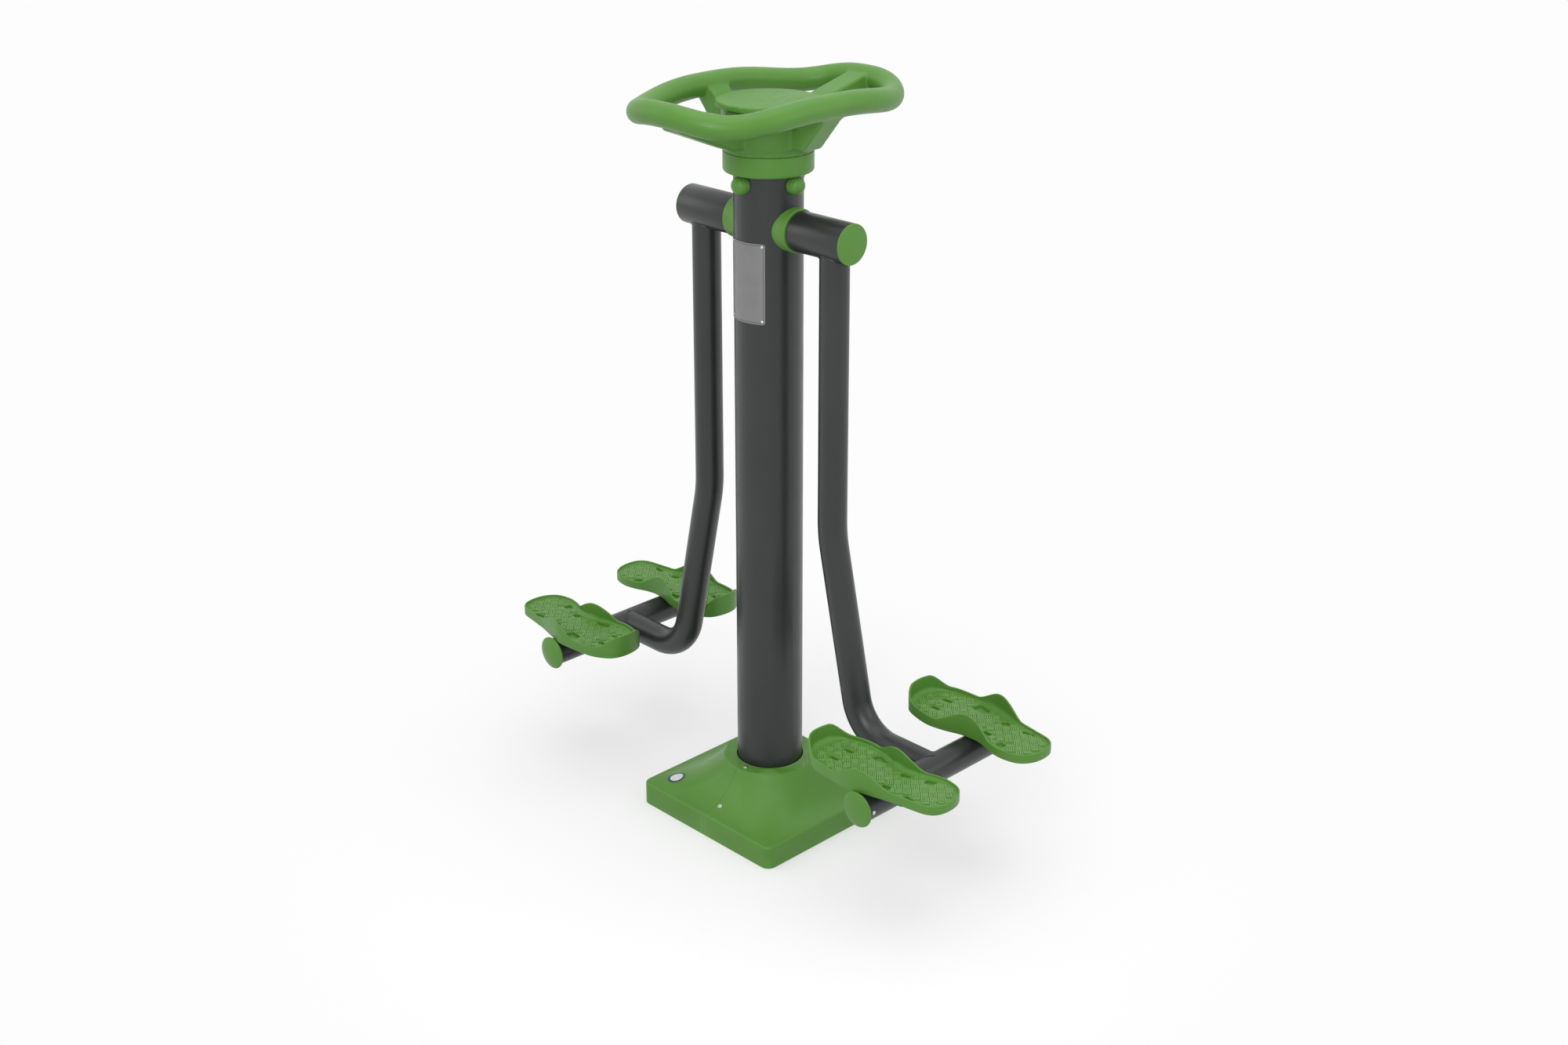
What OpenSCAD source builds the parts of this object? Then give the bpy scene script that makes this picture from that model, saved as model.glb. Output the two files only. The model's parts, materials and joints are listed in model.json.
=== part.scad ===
// Outdoor air walker: a round post on a bolted base plate, a fixed handwheel on top,
// and two legs that swing to and fro side by side, each with a pair of foot trays.
// Millimetres, Z up. The origin is on the ground on the axis of the post. X is the swing axis.

/* [Post] */
// Outside diameter of the post
post_d = 140; // [130:1:160]
// Wall of the post
post_wall = 4; // [3:0.5:6]
// Height of the open top end of the post
post_h = 1446; // [1380:1:1600]
// How far the swing axis lies below the top end of the post
pivot_drop = 138; // [134:1:200]

/* [Base plate] */
// Side of the square base plate
plate_side = 389; // [370:1:460]
// Thickness of the base plate
plate_t = 12; // [8:1:16]
// Distance between neighbouring anchor holes
anchor_pitch = 300; // [270:1:320]
// Diameter of an anchor hole
anchor_hole_d = 18; // [14:1:22]
// Height of a gusset above the base plate
gusset_h = 74; // [50:1:80]
// Reach of a gusset from the post
gusset_reach = 88; // [60:1:96]
// Thickness of a gusset
gusset_t = 8; // [5:1:12]

/* [Base cover] */
// Wall of the moulded cover
cover_wall = 3; // [2:0.5:4]
// Height of the upright edge of the cover
cover_edge_h = 50; // [42:1:70]
// Height of the flat ring round the post
cover_ring_h = 123; // [115:1:150]
// Width of the flat ring round the post
cover_ring_w = 26; // [22:1:32]
// Radius of the upright corners of the cover
cover_corner_r = 20; // [14:1:40]
// Radius of the rolled edge at the top of the upright side
cover_edge_r = 5; // [3:0.5:8]
// How far each half of the cover laps under the other
cover_lap = 24; // [20:1:30]

/* [Swing bearing] */
// Diameter of the axle that passes through the post
axle_d = 35; // [32:1:38]
// Outside diameter of the sleeve welded through the post
sleeve_d = 60; // [54:1:66]
// Diameter of the plastic ring between the post and a housing
ring_d = 89; // [86:1:96]
// Distance from the post axis to the outer face of that ring
ring_reach = 88; // [84:1:96]
// Outside diameter of a bearing housing
housing_d = 82; // [80:1:88]
// Length of a bearing housing
housing_len = 138; // [132:1:160]
// Outside diameter of a ball bearing
bearing_d = 72; // [70:1:74]
// Width of a ball bearing
bearing_w = 17; // [14:1:18]

/* [Legs] */
// Outside diameter of the leg and tread tubes
leg_d = 60; // [50:1:66]
// Wall of the leg and tread tubes
leg_wall = 3.5; // [2.5:0.5:5]
// Distance from the post axis to the upright part of a leg
leg_x = 183; // [176:1:190]
// Height of the tread tube axis
tread_h = 272; // [240:1:320]
// Height of the slight bend above the tread tube
kink_rise = 422; // [380:1:480]
// Angle at which the lower leg leans outwards
lean = 12; // [8:1:16]
// Radius of the slight bend
kink_r = 300; // [200:1:400]
// Radius of the lower bend
bend_r = 98; // [80:1:110]
// Distance from the post axis to a tread tube
tread_x = 470; // [460:1:520]
// Length of a tread tube
tread_len = 440; // [420:1:470]
// Diameter of the mushroom caps on the tread tubes
tube_cap_d = 73; // [68:1:80]

/* [Foot trays] */
// Length of a foot tray
tray_len = 344; // [320:1:360]
// Width of a foot tray at the ball of the foot
tray_w = 142; // [132:1:150]
// Distance from the middle of the tread tube to the middle of a tray
tray_y = 151; // [148:1:158]
// Height from the underside of a tray to the surface of its floor
tray_floor_h = 12.7; // [11:0.1:16]
// Height of the low rim above the floor
tray_rim_h = 6.5; // [5:0.5:9]
// Height that the toe wall and the side flanges add to the low rim
tray_flange_h = 29.5; // [20:0.5:36]
// Thickness of the wall of a tray
tray_wall = 4; // [3:0.5:5]

/* [Handwheel] */
// Diameter of the rim tube
rim_d = 49; // [42:1:54]
// Distance from the post axis to the rim centre line along the swing axis
rim_x = 167; // [160:1:176]
// Distance from the post axis to the rim centre line across the swing axis
rim_y = 274; // [255:1:300]
// Mean height of the rim centre line above the top end of the post
rim_rise = 111; // [106:1:116]
// Height by which the rim rises at the arms and falls between them
rim_wave = 8; // [0:0.5:12]
// Squareness of the rim in plan, where 2 is an ellipse
rim_square = 2.65; // [2.2:0.05:3.2]
// Width of the arms
arm_w = 54; // [44:1:60]
// Diameter of the hub
hub_d = 185; // [180:1:192]
// Diameter of the lid on the hub
lid_d = 204; // [196:1:210]
// Thickness of the lid
lid_t = 12; // [8:1:14]

/* [Hidden] */
$fn = 64;

// Clearances and overruns
weld_gap = 0.1;      // pieces that are welded together
running_gap = 0.05;  // turned fits on the axle and in the housings
seat_gap = 0.3;      // loose pieces and the pieces that carry them
overrun = 2;         // how far a cut runs past the face it opens

// Colours
paint = [0.19, 0.20, 0.21];
green = [0.33, 0.53, 0.20];
steel = [0.72, 0.73, 0.75];
galvanised = [0.55, 0.57, 0.58];

// Post
post_r = post_d / 2;
post_in_r = post_r - post_wall;
pivot_h = post_h - pivot_drop;

// Base plate
plate_corner_r = cover_corner_r; // the cover has the same corner inside and out
plate_vent_share = 0.5;       // vent hole in the plate, share of the post's bore
gusset_nose = 12;             // blunt ends of a gusset
gusset_turn = 45;             // gussets point at the corners of the plate

// Base cover
cover_fit = 0.5;              // room between the cover and the edge of the plate
cover_lift = 0.6;             // cover's lower edge above the ground
cover_half = plate_side / 2 + cover_fit + cover_wall;
cover_gap = 2;                // room between the cover and the post
cover_hole_r = post_r + cover_gap;
cover_ring_r = cover_hole_r + cover_ring_w;
cover_seam = 0.4;
cover_tab_t = 2.5;            // thickness of the lap under the other half
cover_flare = 2.2;            // power of the concave flare
cover_flare_shares = [1, 0.85, 0.7, 0.55, 0.4, 0.27, 0.15, 0.06, 0];
cover_side_shares = [0, 0.35, 0.65, 0.88];
cover_corner_steps = 5;
cover_screw_d = 6;
cover_screw_head_d = 11;
cover_screw_head_t = 3;
cover_screw_seat = 0.45;      // room under the heads, where the flare's facets stand proud
cover_screw_tip = 4;          // screw that stands out of the lap inside
cover_screw_len = cover_wall + cover_tab_t + seat_gap + cover_screw_tip;
cover_screw_x = cover_lap / 2;
cover_screw_ring_share = 0.5;   // inner screws, from the hole to the edge of the ring
cover_screw_flare_share = 0.65; // outer screws, from the ring to the rolled edge

// Information plate
info_t = 1;
info_angle = 80;
info_h = 165;
info_drop = 163;              // top edge below the top end of the post
info_corner = 6;              // rivets in from the edges of the plate
rivet_r = 3;
rivet_dome = 1.5;

// Swing bearing, from the post outwards
axle_r = axle_d / 2;
thread_step = 2.5;            // threaded ends of the axle are this much smaller in radius
thread_r = axle_r - thread_step;
sleeve_r = sleeve_d / 2;
housing_gap = 2;              // room between a plastic ring and its housing
sleeve_reach = ring_reach - housing_gap;
spacer_t = 5;
washer_t = 3;
washer_r = 28;
nut_t = 12;
nut_across = 46;
thread_spare = 2;             // thread that stands out of the nut
end_cap_t = 2.5;
end_cap_depth = 14;
end_cap_wall = 3;
end_cap_room = 4;             // room between the end of the axle and the end of the housing
housing_r = housing_d / 2;
housing_start = ring_reach + housing_gap;
housing_end = housing_start + housing_len;
bearing_r = bearing_d / 2;
bearing_step = 3;             // shoulder behind a bearing
bearing_inset = 4;            // inner bearing behind the face of the housing
housing_web_r = bearing_r - bearing_step;
bearing_in = housing_start + bearing_inset;
axle_tip = housing_end - end_cap_room;
bearing_out = axle_tip - thread_spare - nut_t - washer_t - bearing_w;
race_in_r = axle_r + running_gap;
race_t = 5;
ball_pitch_r = (race_in_r + bearing_r) / 2;
ball_share = 0.33;            // ball's radius, share of the bearing's width
ball_r = bearing_w * ball_share;
ball_room = 0.2;
ball_count = 9;

// Legs
leg_r = leg_d / 2;
leg_in_r = leg_r - leg_wall;
corner_x = leg_x + kink_rise * tan(lean);
kink_h = tread_h + kink_rise;
kink_tan = kink_r * tan(lean / 2);
bend_tan = bend_r * tan((90 - lean) / 2);
slant_len = kink_rise / cos(lean) - kink_tan - bend_tan;
bend_draw = 0.05;             // a bent tube is a hair thinner in its bends
bend_lap = 1;

// Tread tube caps
tread_half = tread_len / 2;
cap_brim_t = 3;
cap_dome_h = 7;
cap_dome_steps = 10;
cap_spigot = 24;
cap_screw_r = 4;
cap_screw_in = 12;            // screw behind the end of the tube
cap_screw_depth = 10;
cap_screw_start = leg_in_r - cap_screw_depth;
cap_screw_head_r = 5;
cap_screw_head_t = 1.5;

// Tray plates
tray_plate_t = 3;
tray_plate_len_share = 0.52;  // share of the tray's length
tray_plate_w_share = 0.6;     // share of the tray's width
plate_len = tray_len * tray_plate_len_share;
plate_w = tray_w * tray_plate_w_share;
saddle_t = 5;
saddle_drop_share = 0.75;     // depth of a saddle rib, share of the tube's radius
saddle_w_share = 1.7;         // width of a saddle rib, share of the tube's diameter
tray_plate_bottom = tread_h + leg_r + seat_gap;
tray_bottom = tray_plate_bottom + tray_plate_t;

// Foot tray
tray_toe_share = 0.517;       // toe from the axis of the tread tube, share of the tray's length
tray_toe_x = tread_x - tray_len * tray_toe_share;
tray_floor_z = tray_bottom + tray_floor_h;
tray_rim_z = tray_floor_z + tray_rim_h;
tray_slab_t = 7;              // floor slab above the ribs
tray_rib_t = 3;
tray_cross_ribs = 7;
tray_long_ribs = 3;
tray_long_pitch_share = 0.2;  // share of the tray's width
tray_pocket_depth = 4;
tray_steps = 4;               // points between two points of the outline
// Outline from the toe round the outer side to the heel and back along the inner side.
// Shares of the tray's length from the toe, and of its width from its middle
tray_outline_shares = [
    [0.000, 0.00], [0.015, 0.19], [0.058, 0.32], [0.155, 0.44], [0.300, 0.485], [0.433, 0.50],
    [0.561, 0.43], [0.698, 0.345], [0.823, 0.295], [0.927, 0.245], [0.983, 0.13], [1.000, -0.07],
    [0.983, -0.28], [0.927, -0.44], [0.828, -0.50], [0.735, -0.47], [0.648, -0.395], [0.570, -0.36],
    [0.474, -0.385], [0.372, -0.46], [0.267, -0.50], [0.166, -0.465], [0.064, -0.375], [0.017, -0.235]];
function tray_point(share) = [tray_toe_x + share[0] * tray_len, tray_y + share[1] * tray_w];
tray_outline = smooth_ring([for (s = tray_outline_shares) tray_point(s)], tray_steps);
// Toe wall falls to the low rim between these shares of the length
toe_fall_shares = [0.012, 0.096];
// Side flanges start, peak and end at these shares of the length
flange_shares = [0.314, 0.503, 0.698];
flange_steps = 16;
toe_steps = 8;
// Drain pockets in the floor: corners as shares of length and width, and a rounding as a share of width
pocket_shares = [
    [[0.334, -0.25], [0.350, -0.375], [0.455, -0.30], [0.380, -0.235]],
    [[0.343, 0.23], [0.448, 0.20], [0.462, 0.33], [0.360, 0.40]],
    [[0.578, -0.26], [0.640, -0.27], [0.648, -0.17], [0.585, -0.16]],
    [[0.584, 0.16], [0.640, 0.14], [0.650, 0.24], [0.600, 0.27]],
    [[0.724, -0.36], [0.788, -0.40], [0.786, -0.27], [0.735, -0.25]],
    [[0.744, 0.215], [0.765, 0.155], [0.840, 0.21], [0.817, 0.24]]];
// Oval pockets: centre, half length and half width as shares of the length
oval_shares = [[0.189, -0.155], [0.183, 0.134]];
oval_half_shares = [0.038, 0.0145];
// Screw bosses: shares of the plate's length and width from the middle of the plate
boss_shares = [0.36, 0.30];
boss_r = 9;
tray_bolt_r = 4;
tray_bolt_head_across = 13;
tray_bolt_head_t = 5.3;
tray_bolt_depth = 9;

// Handwheel
rim_r = rim_d / 2;
rim_h = post_h + rim_rise;
rim_sides = 20;
rim_rings = 96;
flange_t = 8;
flange_brim = 14;             // flange that stands out over the end of the post
flange_r = post_r + flange_brim;
spigot_wall = 5;
spigot_len = 90;
spigot_room = 0.2;
spigot_r = post_in_r - spigot_room;
hub_r = hub_d / 2;
hub_wall = 8.5;
hub_bottom = post_h + flange_t + seat_gap * 2;
hub_floor_t = 9;
hub_base_h = 18;              // plain band under the arms
lid_drop = 1;                 // lid's face below the rim's centre line
lid_top = rim_h - lid_drop;
lid_bottom = lid_top - lid_t;
lid_spigot_h = 6;
lid_spigot_t = 4;
collar_drop = 34;             // collar's lower edge below the top end of the post
collar_edge_r = 6;
groove = 1;                   // chamfers that show the joint between hub and collar
arm_foot = hub_bottom + hub_base_h;
// Side views of the arms, from the underside round to the top: share of the way from the hub
// to the rim's centre line and share of the rim's radius beyond it, then share of the height
// from the arm's foot to the crest of the rim's centre line and share of the rim's radius above it
short_arm_shares = [
    [0.37, 0, 0, 0], [1, 0.55, 1, -0.8], [1, 0, 1, 0], [1, -1, 1, 0.05], [0.15, 0, 0.565, 0]];
long_arm_shares = [[0.11, 0, 0, 0], [1, -0.9, 1, -1.5], [1, 0, 1, 0], [1, -0.5, 1, 0.6]];
// Height at which the top of an arm meets the hub, share of the same height
short_root_share = 0.357;
long_root_share = 0.656;
wheel_bolt_drop = 54;         // radial bolts below the top end of the post
wheel_bolt_r = 6;
wheel_bolt_head_r = 10;
wheel_bolt_head_t = 6;
wheel_nut_across = 19;
wheel_nut_t = 10;
wheel_nut_start = spigot_r - spigot_wall - wheel_nut_t;
cap_ball_r = 17;
cap_ball_in = 3;              // centre of the ball inside the face of the post
hub_bolt_circle_share = 0.7;  // circle of the hub bolts, share of the spigot's bore
hub_bolt_r = 6;
hub_bolt_head_t = 7.5;
hub_bolt_head_across = 19;

// Shared forms

// Moves a piece that was made for the +X side to the -X side
module other_side() {
    mirror([1, 0, 0]) children();
}

// The same piece on the +Y side and, mirrored, on the -Y side
module both_ends() {
    children();
    mirror([0, 1, 0]) children();
}

// Round bar along X between two places
module bar_x(r, x0, x1) {
    translate([x0, 0, 0]) rotate([0, 90, 0]) cylinder(r = r, h = x1 - x0);
}

// Round ring along X between two places
module ring_x(r_out, r_in, x0, x1) {
    difference() {
        bar_x(r_out, x0, x1);
        bar_x(r_in, x0 - overrun, x1 + overrun);
    }
}

// Hexagon bar along Z
module hex_bar(across, h) {
    cylinder(r = across / 2 / cos(30), h = h, $fn = 6);
}

function lerp(a, b, t) = a + (b - a) * t;

// Square with round corners, as points from the middle of the +X side round to the left
function quarter_points(half, r) = concat(
    [for (s = cover_side_shares) [half, s * (half - r)]],
    [for (i = [0 : cover_corner_steps])
        let (a = 90 * i / cover_corner_steps) [half - r + r * cos(a), half - r + r * sin(a)]],
    [for (i = [len(cover_side_shares) - 1 : -1 : 1]) [cover_side_shares[i] * (half - r), half]]);
function turned(points, a) = [for (p = points)
    [p[0] * cos(a) - p[1] * sin(a), p[0] * sin(a) + p[1] * cos(a)]];
function square_points(half, r) = [for (q = [0 : 3]) each turned(quarter_points(half, r), 90 * q)];

// Closed smooth curve through a ring of points
function spline_at(p0, p1, p2, p3, t) = 0.5 * (2 * p1 + (p2 - p0) * t
    + (2 * p0 - 5 * p1 + 4 * p2 - p3) * t * t + (3 * p1 - p0 - 3 * p2 + p3) * t * t * t);
function smooth_ring(p, steps) = let (n = len(p)) [for (i = [0 : n - 1]) for (k = [0 : steps - 1])
    spline_at(p[(i + n - 1) % n], p[i], p[(i + 1) % n], p[(i + 2) % n], k / steps)];

// A ring of points moved inwards
function inset_ring(p, d) = let (n = len(p)) [for (i = [0 : n - 1])
    let (t = p[(i + 1) % n] - p[(i + n - 1) % n], u = t / norm(t)) p[i] + d * [u[1], -u[0]]];

// Solid through a stack of level rings that have as many points each, closed by a fan at either end
module ring_stack(rings) {
    n = len(rings[0]);
    m = len(rings);
    foot = n * m;
    head = foot + 1;
    top = (m - 1) * n;
    sides = [for (j = [0 : m - 2]) for (i = [0 : n - 1])
        let (a = j * n + i, b = j * n + (i + 1) % n) each [[a, b + n, b], [a, a + n, b + n]]];
    ends = [for (i = [0 : n - 1]) let (k = (i + 1) % n) each [[foot, i, k], [head, top + k, top + i]]];
    middles = [[0, 0, rings[0][0][2]], [0, 0, rings[m - 1][0][2]]];
    polyhedron(points = concat([for (r = rings) each r], middles), faces = concat(sides, ends));
}

// Post

module post_tube() {
    color(paint) difference() {
        translate([0, 0, plate_t]) cylinder(r = post_r, h = post_h - plate_t);
        translate([0, 0, plate_t - overrun]) cylinder(r = post_in_r, h = post_h - plate_t + 2 * overrun);
        translate([0, 0, pivot_h]) bar_x(sleeve_r + weld_gap, -post_d, post_d);
        wheel_bolt_places() cylinder(r = wheel_bolt_r + seat_gap, h = post_d);
    }
}

// Places of the four radial bolts, with Z along the bolt, outwards
module wheel_bolt_places() {
    for (a = [0 : 90 : 270]) translate([0, 0, post_h - wheel_bolt_drop]) rotate([0, 90, a]) children();
}

// Base

module base_plate() {
    color(galvanised) difference() {
        linear_extrude(plate_t) polygon(square_points(plate_side / 2, plate_corner_r));
        anchor_places() translate([0, 0, -overrun])
            cylinder(r = anchor_hole_d / 2, h = plate_t + 2 * overrun);
        translate([0, 0, -overrun]) cylinder(r = post_in_r * plate_vent_share, h = plate_t + 2 * overrun);
    }
}

module anchor_places() {
    for (x = [-1, 1]) for (y = [-1, 1])
        translate([x * anchor_pitch / 2, y * anchor_pitch / 2, 0]) children();
}

module base_gussets() {
    start = post_r - post_wall;
    reach = post_r + gusset_reach;
    color(paint) for (q = [0 : 3]) rotate([0, 0, gusset_turn + 90 * q]) difference() {
        translate([0, gusset_t / 2, plate_t]) rotate([90, 0, 0]) linear_extrude(gusset_t) polygon([
            [start, 0], [reach, 0], [reach, gusset_nose],
            [post_r + gusset_nose, gusset_h], [start, gusset_h]]);
        cylinder(r = post_r + weld_gap, h = post_h);
    }
}

// Height of the flare at a share of the way from the ring to the rolled edge
function flare_z(s) = cover_edge_h + (cover_ring_h - cover_edge_h) * pow(1 - s, cover_flare);

// One level of the cover's flare: between the ring round the post and the rolled edge
function flare_ring(s, deep) =
    let (edge = square_points(cover_half - cover_edge_r - deep, cover_corner_r - cover_edge_r))
    [for (p = edge) let (q = lerp((cover_ring_r - deep) * p / norm(p), p, s))
        [q[0], q[1], flare_z(s) - deep]];

// One level of the upright side, drawn in by the rolled edge
function side_ring(draw, deep, z) =
    [for (p = square_points(cover_half - draw - deep, cover_corner_r - draw)) [p[0], p[1], z]];

// The cover's form as a solid, with its surface a given depth inside the real one
module cover_form(deep, foot) {
    roll = [for (a = [0, 45]) side_ring(cover_edge_r * (1 - cos(a)), deep,
        cover_edge_h - cover_edge_r * (1 - sin(a)) - deep)];
    ring_stack(concat([side_ring(0, deep, foot)], roll, [for (s = cover_flare_shares) flare_ring(s, deep)]));
}

// Box on the -Y side, clear of the base plate, from one place along X to another
module lap_box(x0, x1) {
    translate([x0, -2 * cover_half, plate_t + overrun]) cube([x1 - x0, 2 * cover_half, cover_ring_h]);
}

// The half of the cover on the -X side. On the -Y side it laps under the other half
module cover_half_shell() {
    under = cover_wall + seat_gap;
    difference() {
        union() {
            intersection() {
                cover_form(0, cover_lift);
                translate([-2 * cover_half, -2 * cover_half, 0])
                    cube([2 * cover_half - cover_seam / 2, 4 * cover_half, cover_ring_h + overrun]);
            }
            intersection() {
                cover_form(under, cover_lift);
                lap_box(-cover_seam, cover_lap);
            }
        }
        difference() {
            cover_form(cover_wall, -overrun);
            lap_box(-cover_lap / 2, cover_lap + overrun);
        }
        cover_form(under + cover_tab_t, -overrun);
        cylinder(r = cover_hole_r, h = cover_ring_h + overrun);
        for (a = [0, 180]) rotate([0, 0, a]) cover_screw_places() translate([0, 0, -cover_screw_len])
            cylinder(r = cover_screw_d / 2 + seat_gap, h = cover_screw_len + overrun);
    }
}

// Places of the two lap screws on the -Y side, with Z outwards and zero on the surface
module cover_screw_places() {
    ring_y = lerp(cover_hole_r, cover_ring_r, cover_screw_ring_share);
    run = cover_half - cover_edge_r - cover_ring_r;
    flare_y = cover_ring_r + run * cover_screw_flare_share;
    fall = (cover_ring_h - cover_edge_h) * cover_flare * pow(1 - cover_screw_flare_share, cover_flare - 1);
    translate([cover_screw_x, -ring_y, cover_ring_h]) children();
    translate([cover_screw_x, -flare_y, flare_z(cover_screw_flare_share)])
        rotate([atan(fall / run), 0, 0]) children();
}

module right_base_cover() {
    color(green) rotate([0, 0, 180]) cover_half_shell();
}

module left_base_cover() {
    color(green) cover_half_shell();
}

module cover_screws() {
    color(steel) for (a = [0, 180]) rotate([0, 0, a]) cover_screw_places() {
        translate([0, 0, cover_screw_seat])
            cylinder(r1 = cover_screw_head_d / 2, r2 = cover_screw_head_d / 3, h = cover_screw_head_t);
        translate([0, 0, -cover_screw_len])
            cylinder(r = cover_screw_d / 2, h = cover_screw_len + cover_screw_seat);
    }
}

// Information plate

module info_plate() {
    color(steel) translate([0, 0, post_h - info_drop - info_h]) rotate([0, 0, -90 - info_angle / 2])
        rotate_extrude(angle = info_angle) translate([post_r + weld_gap, 0]) square([info_t, info_h]);
}

module plate_rivets() {
    inset_angle = info_corner / post_r * 180 / PI;
    color(steel) for (a = [-1, 1]) for (z = [info_corner, info_h - info_corner])
        rotate([0, 0, -90 + a * (info_angle / 2 - inset_angle)])
        translate([post_r + weld_gap + info_t, 0, post_h - info_drop - info_h + z]) rotate([0, 90, 0])
        cylinder(r1 = rivet_r, r2 = rivet_r / 2, h = rivet_dome);
}

// Swing bearings, made for the +X side

module pivot_sleeve() {
    color(paint) translate([0, 0, pivot_h]) ring_x(sleeve_r, axle_r + weld_gap, -sleeve_reach, sleeve_reach);
}

module pivot_axle() {
    end = bearing_out + bearing_w;
    color(steel) translate([0, 0, pivot_h]) {
        bar_x(axle_r, -end, end);
        bar_x(thread_r, -axle_tip, axle_tip);
    }
}

module pivot_ring() {
    color(green) difference() {
        translate([0, 0, pivot_h]) ring_x(ring_d / 2, sleeve_r + weld_gap, 0, ring_reach);
        cylinder(r = post_r + weld_gap, h = post_h);
    }
}

module bearing_spacers() {
    color(galvanised) translate([0, 0, pivot_h]) {
        ring_x(race_in_r + spacer_t, race_in_r, sleeve_reach, bearing_in);
        ring_x(race_in_r + spacer_t, race_in_r, bearing_in + bearing_w, bearing_out);
    }
}

module bearing_places() {
    for (x = [bearing_in, bearing_out])
        translate([x + bearing_w / 2, 0, pivot_h]) rotate([0, 90, 0]) children();
}

// One race of a ball bearing, with its groove
module race(r_in, r_out) {
    rotate_extrude() difference() {
        translate([r_in, -bearing_w / 2]) square([r_out - r_in, bearing_w]);
        translate([ball_pitch_r, 0]) circle(r = ball_r + ball_room);
    }
}

module inner_races() {
    color(steel) bearing_places() race(race_in_r, race_in_r + race_t);
}

module outer_races() {
    color(steel) bearing_places() race(bearing_r - running_gap - race_t, bearing_r - running_gap);
}

module bearing_balls() {
    color(steel) bearing_places() for (i = [0 : ball_count - 1])
        rotate([0, 0, 360 * i / ball_count]) translate([ball_pitch_r, 0, 0]) sphere(r = ball_r);
}

module axle_washer() {
    x = bearing_out + bearing_w;
    color(steel) translate([0, 0, pivot_h]) ring_x(washer_r, thread_r + weld_gap, x, x + washer_t);
}

module axle_nut() {
    x = bearing_out + bearing_w + washer_t;
    color(steel) difference() {
        translate([x, 0, pivot_h]) rotate([0, 90, 0]) hex_bar(nut_across, nut_t);
        translate([0, 0, pivot_h]) bar_x(thread_r + weld_gap, x - overrun, x + nut_t + overrun);
    }
}

module pivot_housing() {
    color(paint) translate([0, 0, pivot_h]) difference() {
        bar_x(housing_r, housing_start, housing_end);
        bar_x(housing_web_r, housing_start - overrun, housing_end + overrun);
        bar_x(bearing_r, housing_start - overrun, bearing_in + bearing_w);
        bar_x(bearing_r, bearing_out, housing_end + overrun);
    }
}

module end_cap() {
    plug_r = bearing_r - seat_gap;
    color(green) translate([0, 0, pivot_h]) {
        bar_x(housing_r, housing_end, housing_end + end_cap_t);
        ring_x(plug_r, plug_r - end_cap_wall, housing_end - end_cap_depth, housing_end + end_cap_t / 2);
    }
}

// Legs, made for the +X side

// Part of a ring along a leg's line: a bend about a centre, from one angle on
module leg_bend(r, x, z, bend, start, turn) {
    translate([x, 0, z]) rotate([90, 0, 0]) rotate([0, 0, start])
        rotate_extrude(angle = turn) translate([bend, 0]) circle(r = r - bend_draw);
}

// Round bar along the line of a leg: upright, slight bend, slant, lower bend and foot.
// The straights lap a little over the bends, which are drawn in by a hair
module leg_bar(r) {
    upright_h = kink_h + kink_tan - bend_lap;
    translate([leg_x, 0, upright_h]) cylinder(r = r, h = pivot_h - upright_h);
    leg_bend(r, leg_x + kink_r, kink_h + kink_tan, kink_r, 180, lean);
    translate([corner_x - bend_tan * sin(lean), 0, tread_h + bend_tan * cos(lean)]) rotate([0, -lean, 0])
        translate([0, 0, -bend_lap]) cylinder(r = r, h = slant_len + 2 * bend_lap);
    leg_bend(r, corner_x + bend_tan, tread_h + bend_r, bend_r, 180 + lean, 90 - lean);
    translate([0, 0, tread_h]) bar_x(r, corner_x + bend_tan - bend_lap, tread_x);
}

module leg_tube() {
    color(paint) difference() {
        leg_bar(leg_r);
        leg_bar(leg_in_r);
        translate([0, 0, pivot_h]) bar_x(housing_r + weld_gap, housing_start, housing_end);
        tread_bar(leg_r + weld_gap, 0);
    }
}

// Round bar along the tread tube, running past its ends by a given length
module tread_bar(r, past) {
    translate([tread_x, tread_half + past, tread_h]) rotate([90, 0, 0])
        cylinder(r = r, h = tread_len + 2 * past);
}

module tread_tube() {
    color(paint) difference() {
        tread_bar(leg_r, 0);
        tread_bar(leg_in_r, overrun);
        cap_screw_places() cylinder(r = cap_screw_r + weld_gap, h = leg_r);
    }
}

// Places of the screws that hold the caps, with Z outwards and zero on the axis of the tube
module cap_screw_places() {
    both_ends() translate([tread_x, tread_half - cap_screw_in, tread_h]) rotate([0, 90, 0]) children();
}

// Cap from the inner end of its spigot to the crown of its dome
module tube_caps() {
    brim_r = tube_cap_d / 2;
    spigot = leg_in_r - seat_gap;
    dome_r = (brim_r * brim_r + cap_dome_h * cap_dome_h) / (2 * cap_dome_h);
    span = asin(brim_r / dome_r);
    dome = [for (i = [0 : cap_dome_steps]) let (a = span * (1 - i / cap_dome_steps))
        [dome_r * sin(a), cap_brim_t + cap_dome_h - dome_r * (1 - cos(a))]];
    color(green) difference() {
        both_ends() translate([tread_x, tread_half, tread_h]) rotate([-90, 0, 0]) rotate_extrude()
            polygon(concat([[0, -cap_spigot], [spigot, -cap_spigot], [spigot, 0], [brim_r, 0]], dome));
        cap_screw_places() translate([0, 0, cap_screw_start])
            cylinder(r = cap_screw_r + weld_gap, h = leg_r);
    }
}

module cap_screws() {
    color(steel) cap_screw_places() {
        translate([0, 0, cap_screw_start]) cylinder(r = cap_screw_r, h = leg_r - cap_screw_start);
        translate([0, 0, leg_r])
            cylinder(r1 = cap_screw_head_r, r2 = cap_screw_head_r / 2, h = cap_screw_head_t);
    }
}

// Foot trays, made for the +X side and the +Y end

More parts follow.
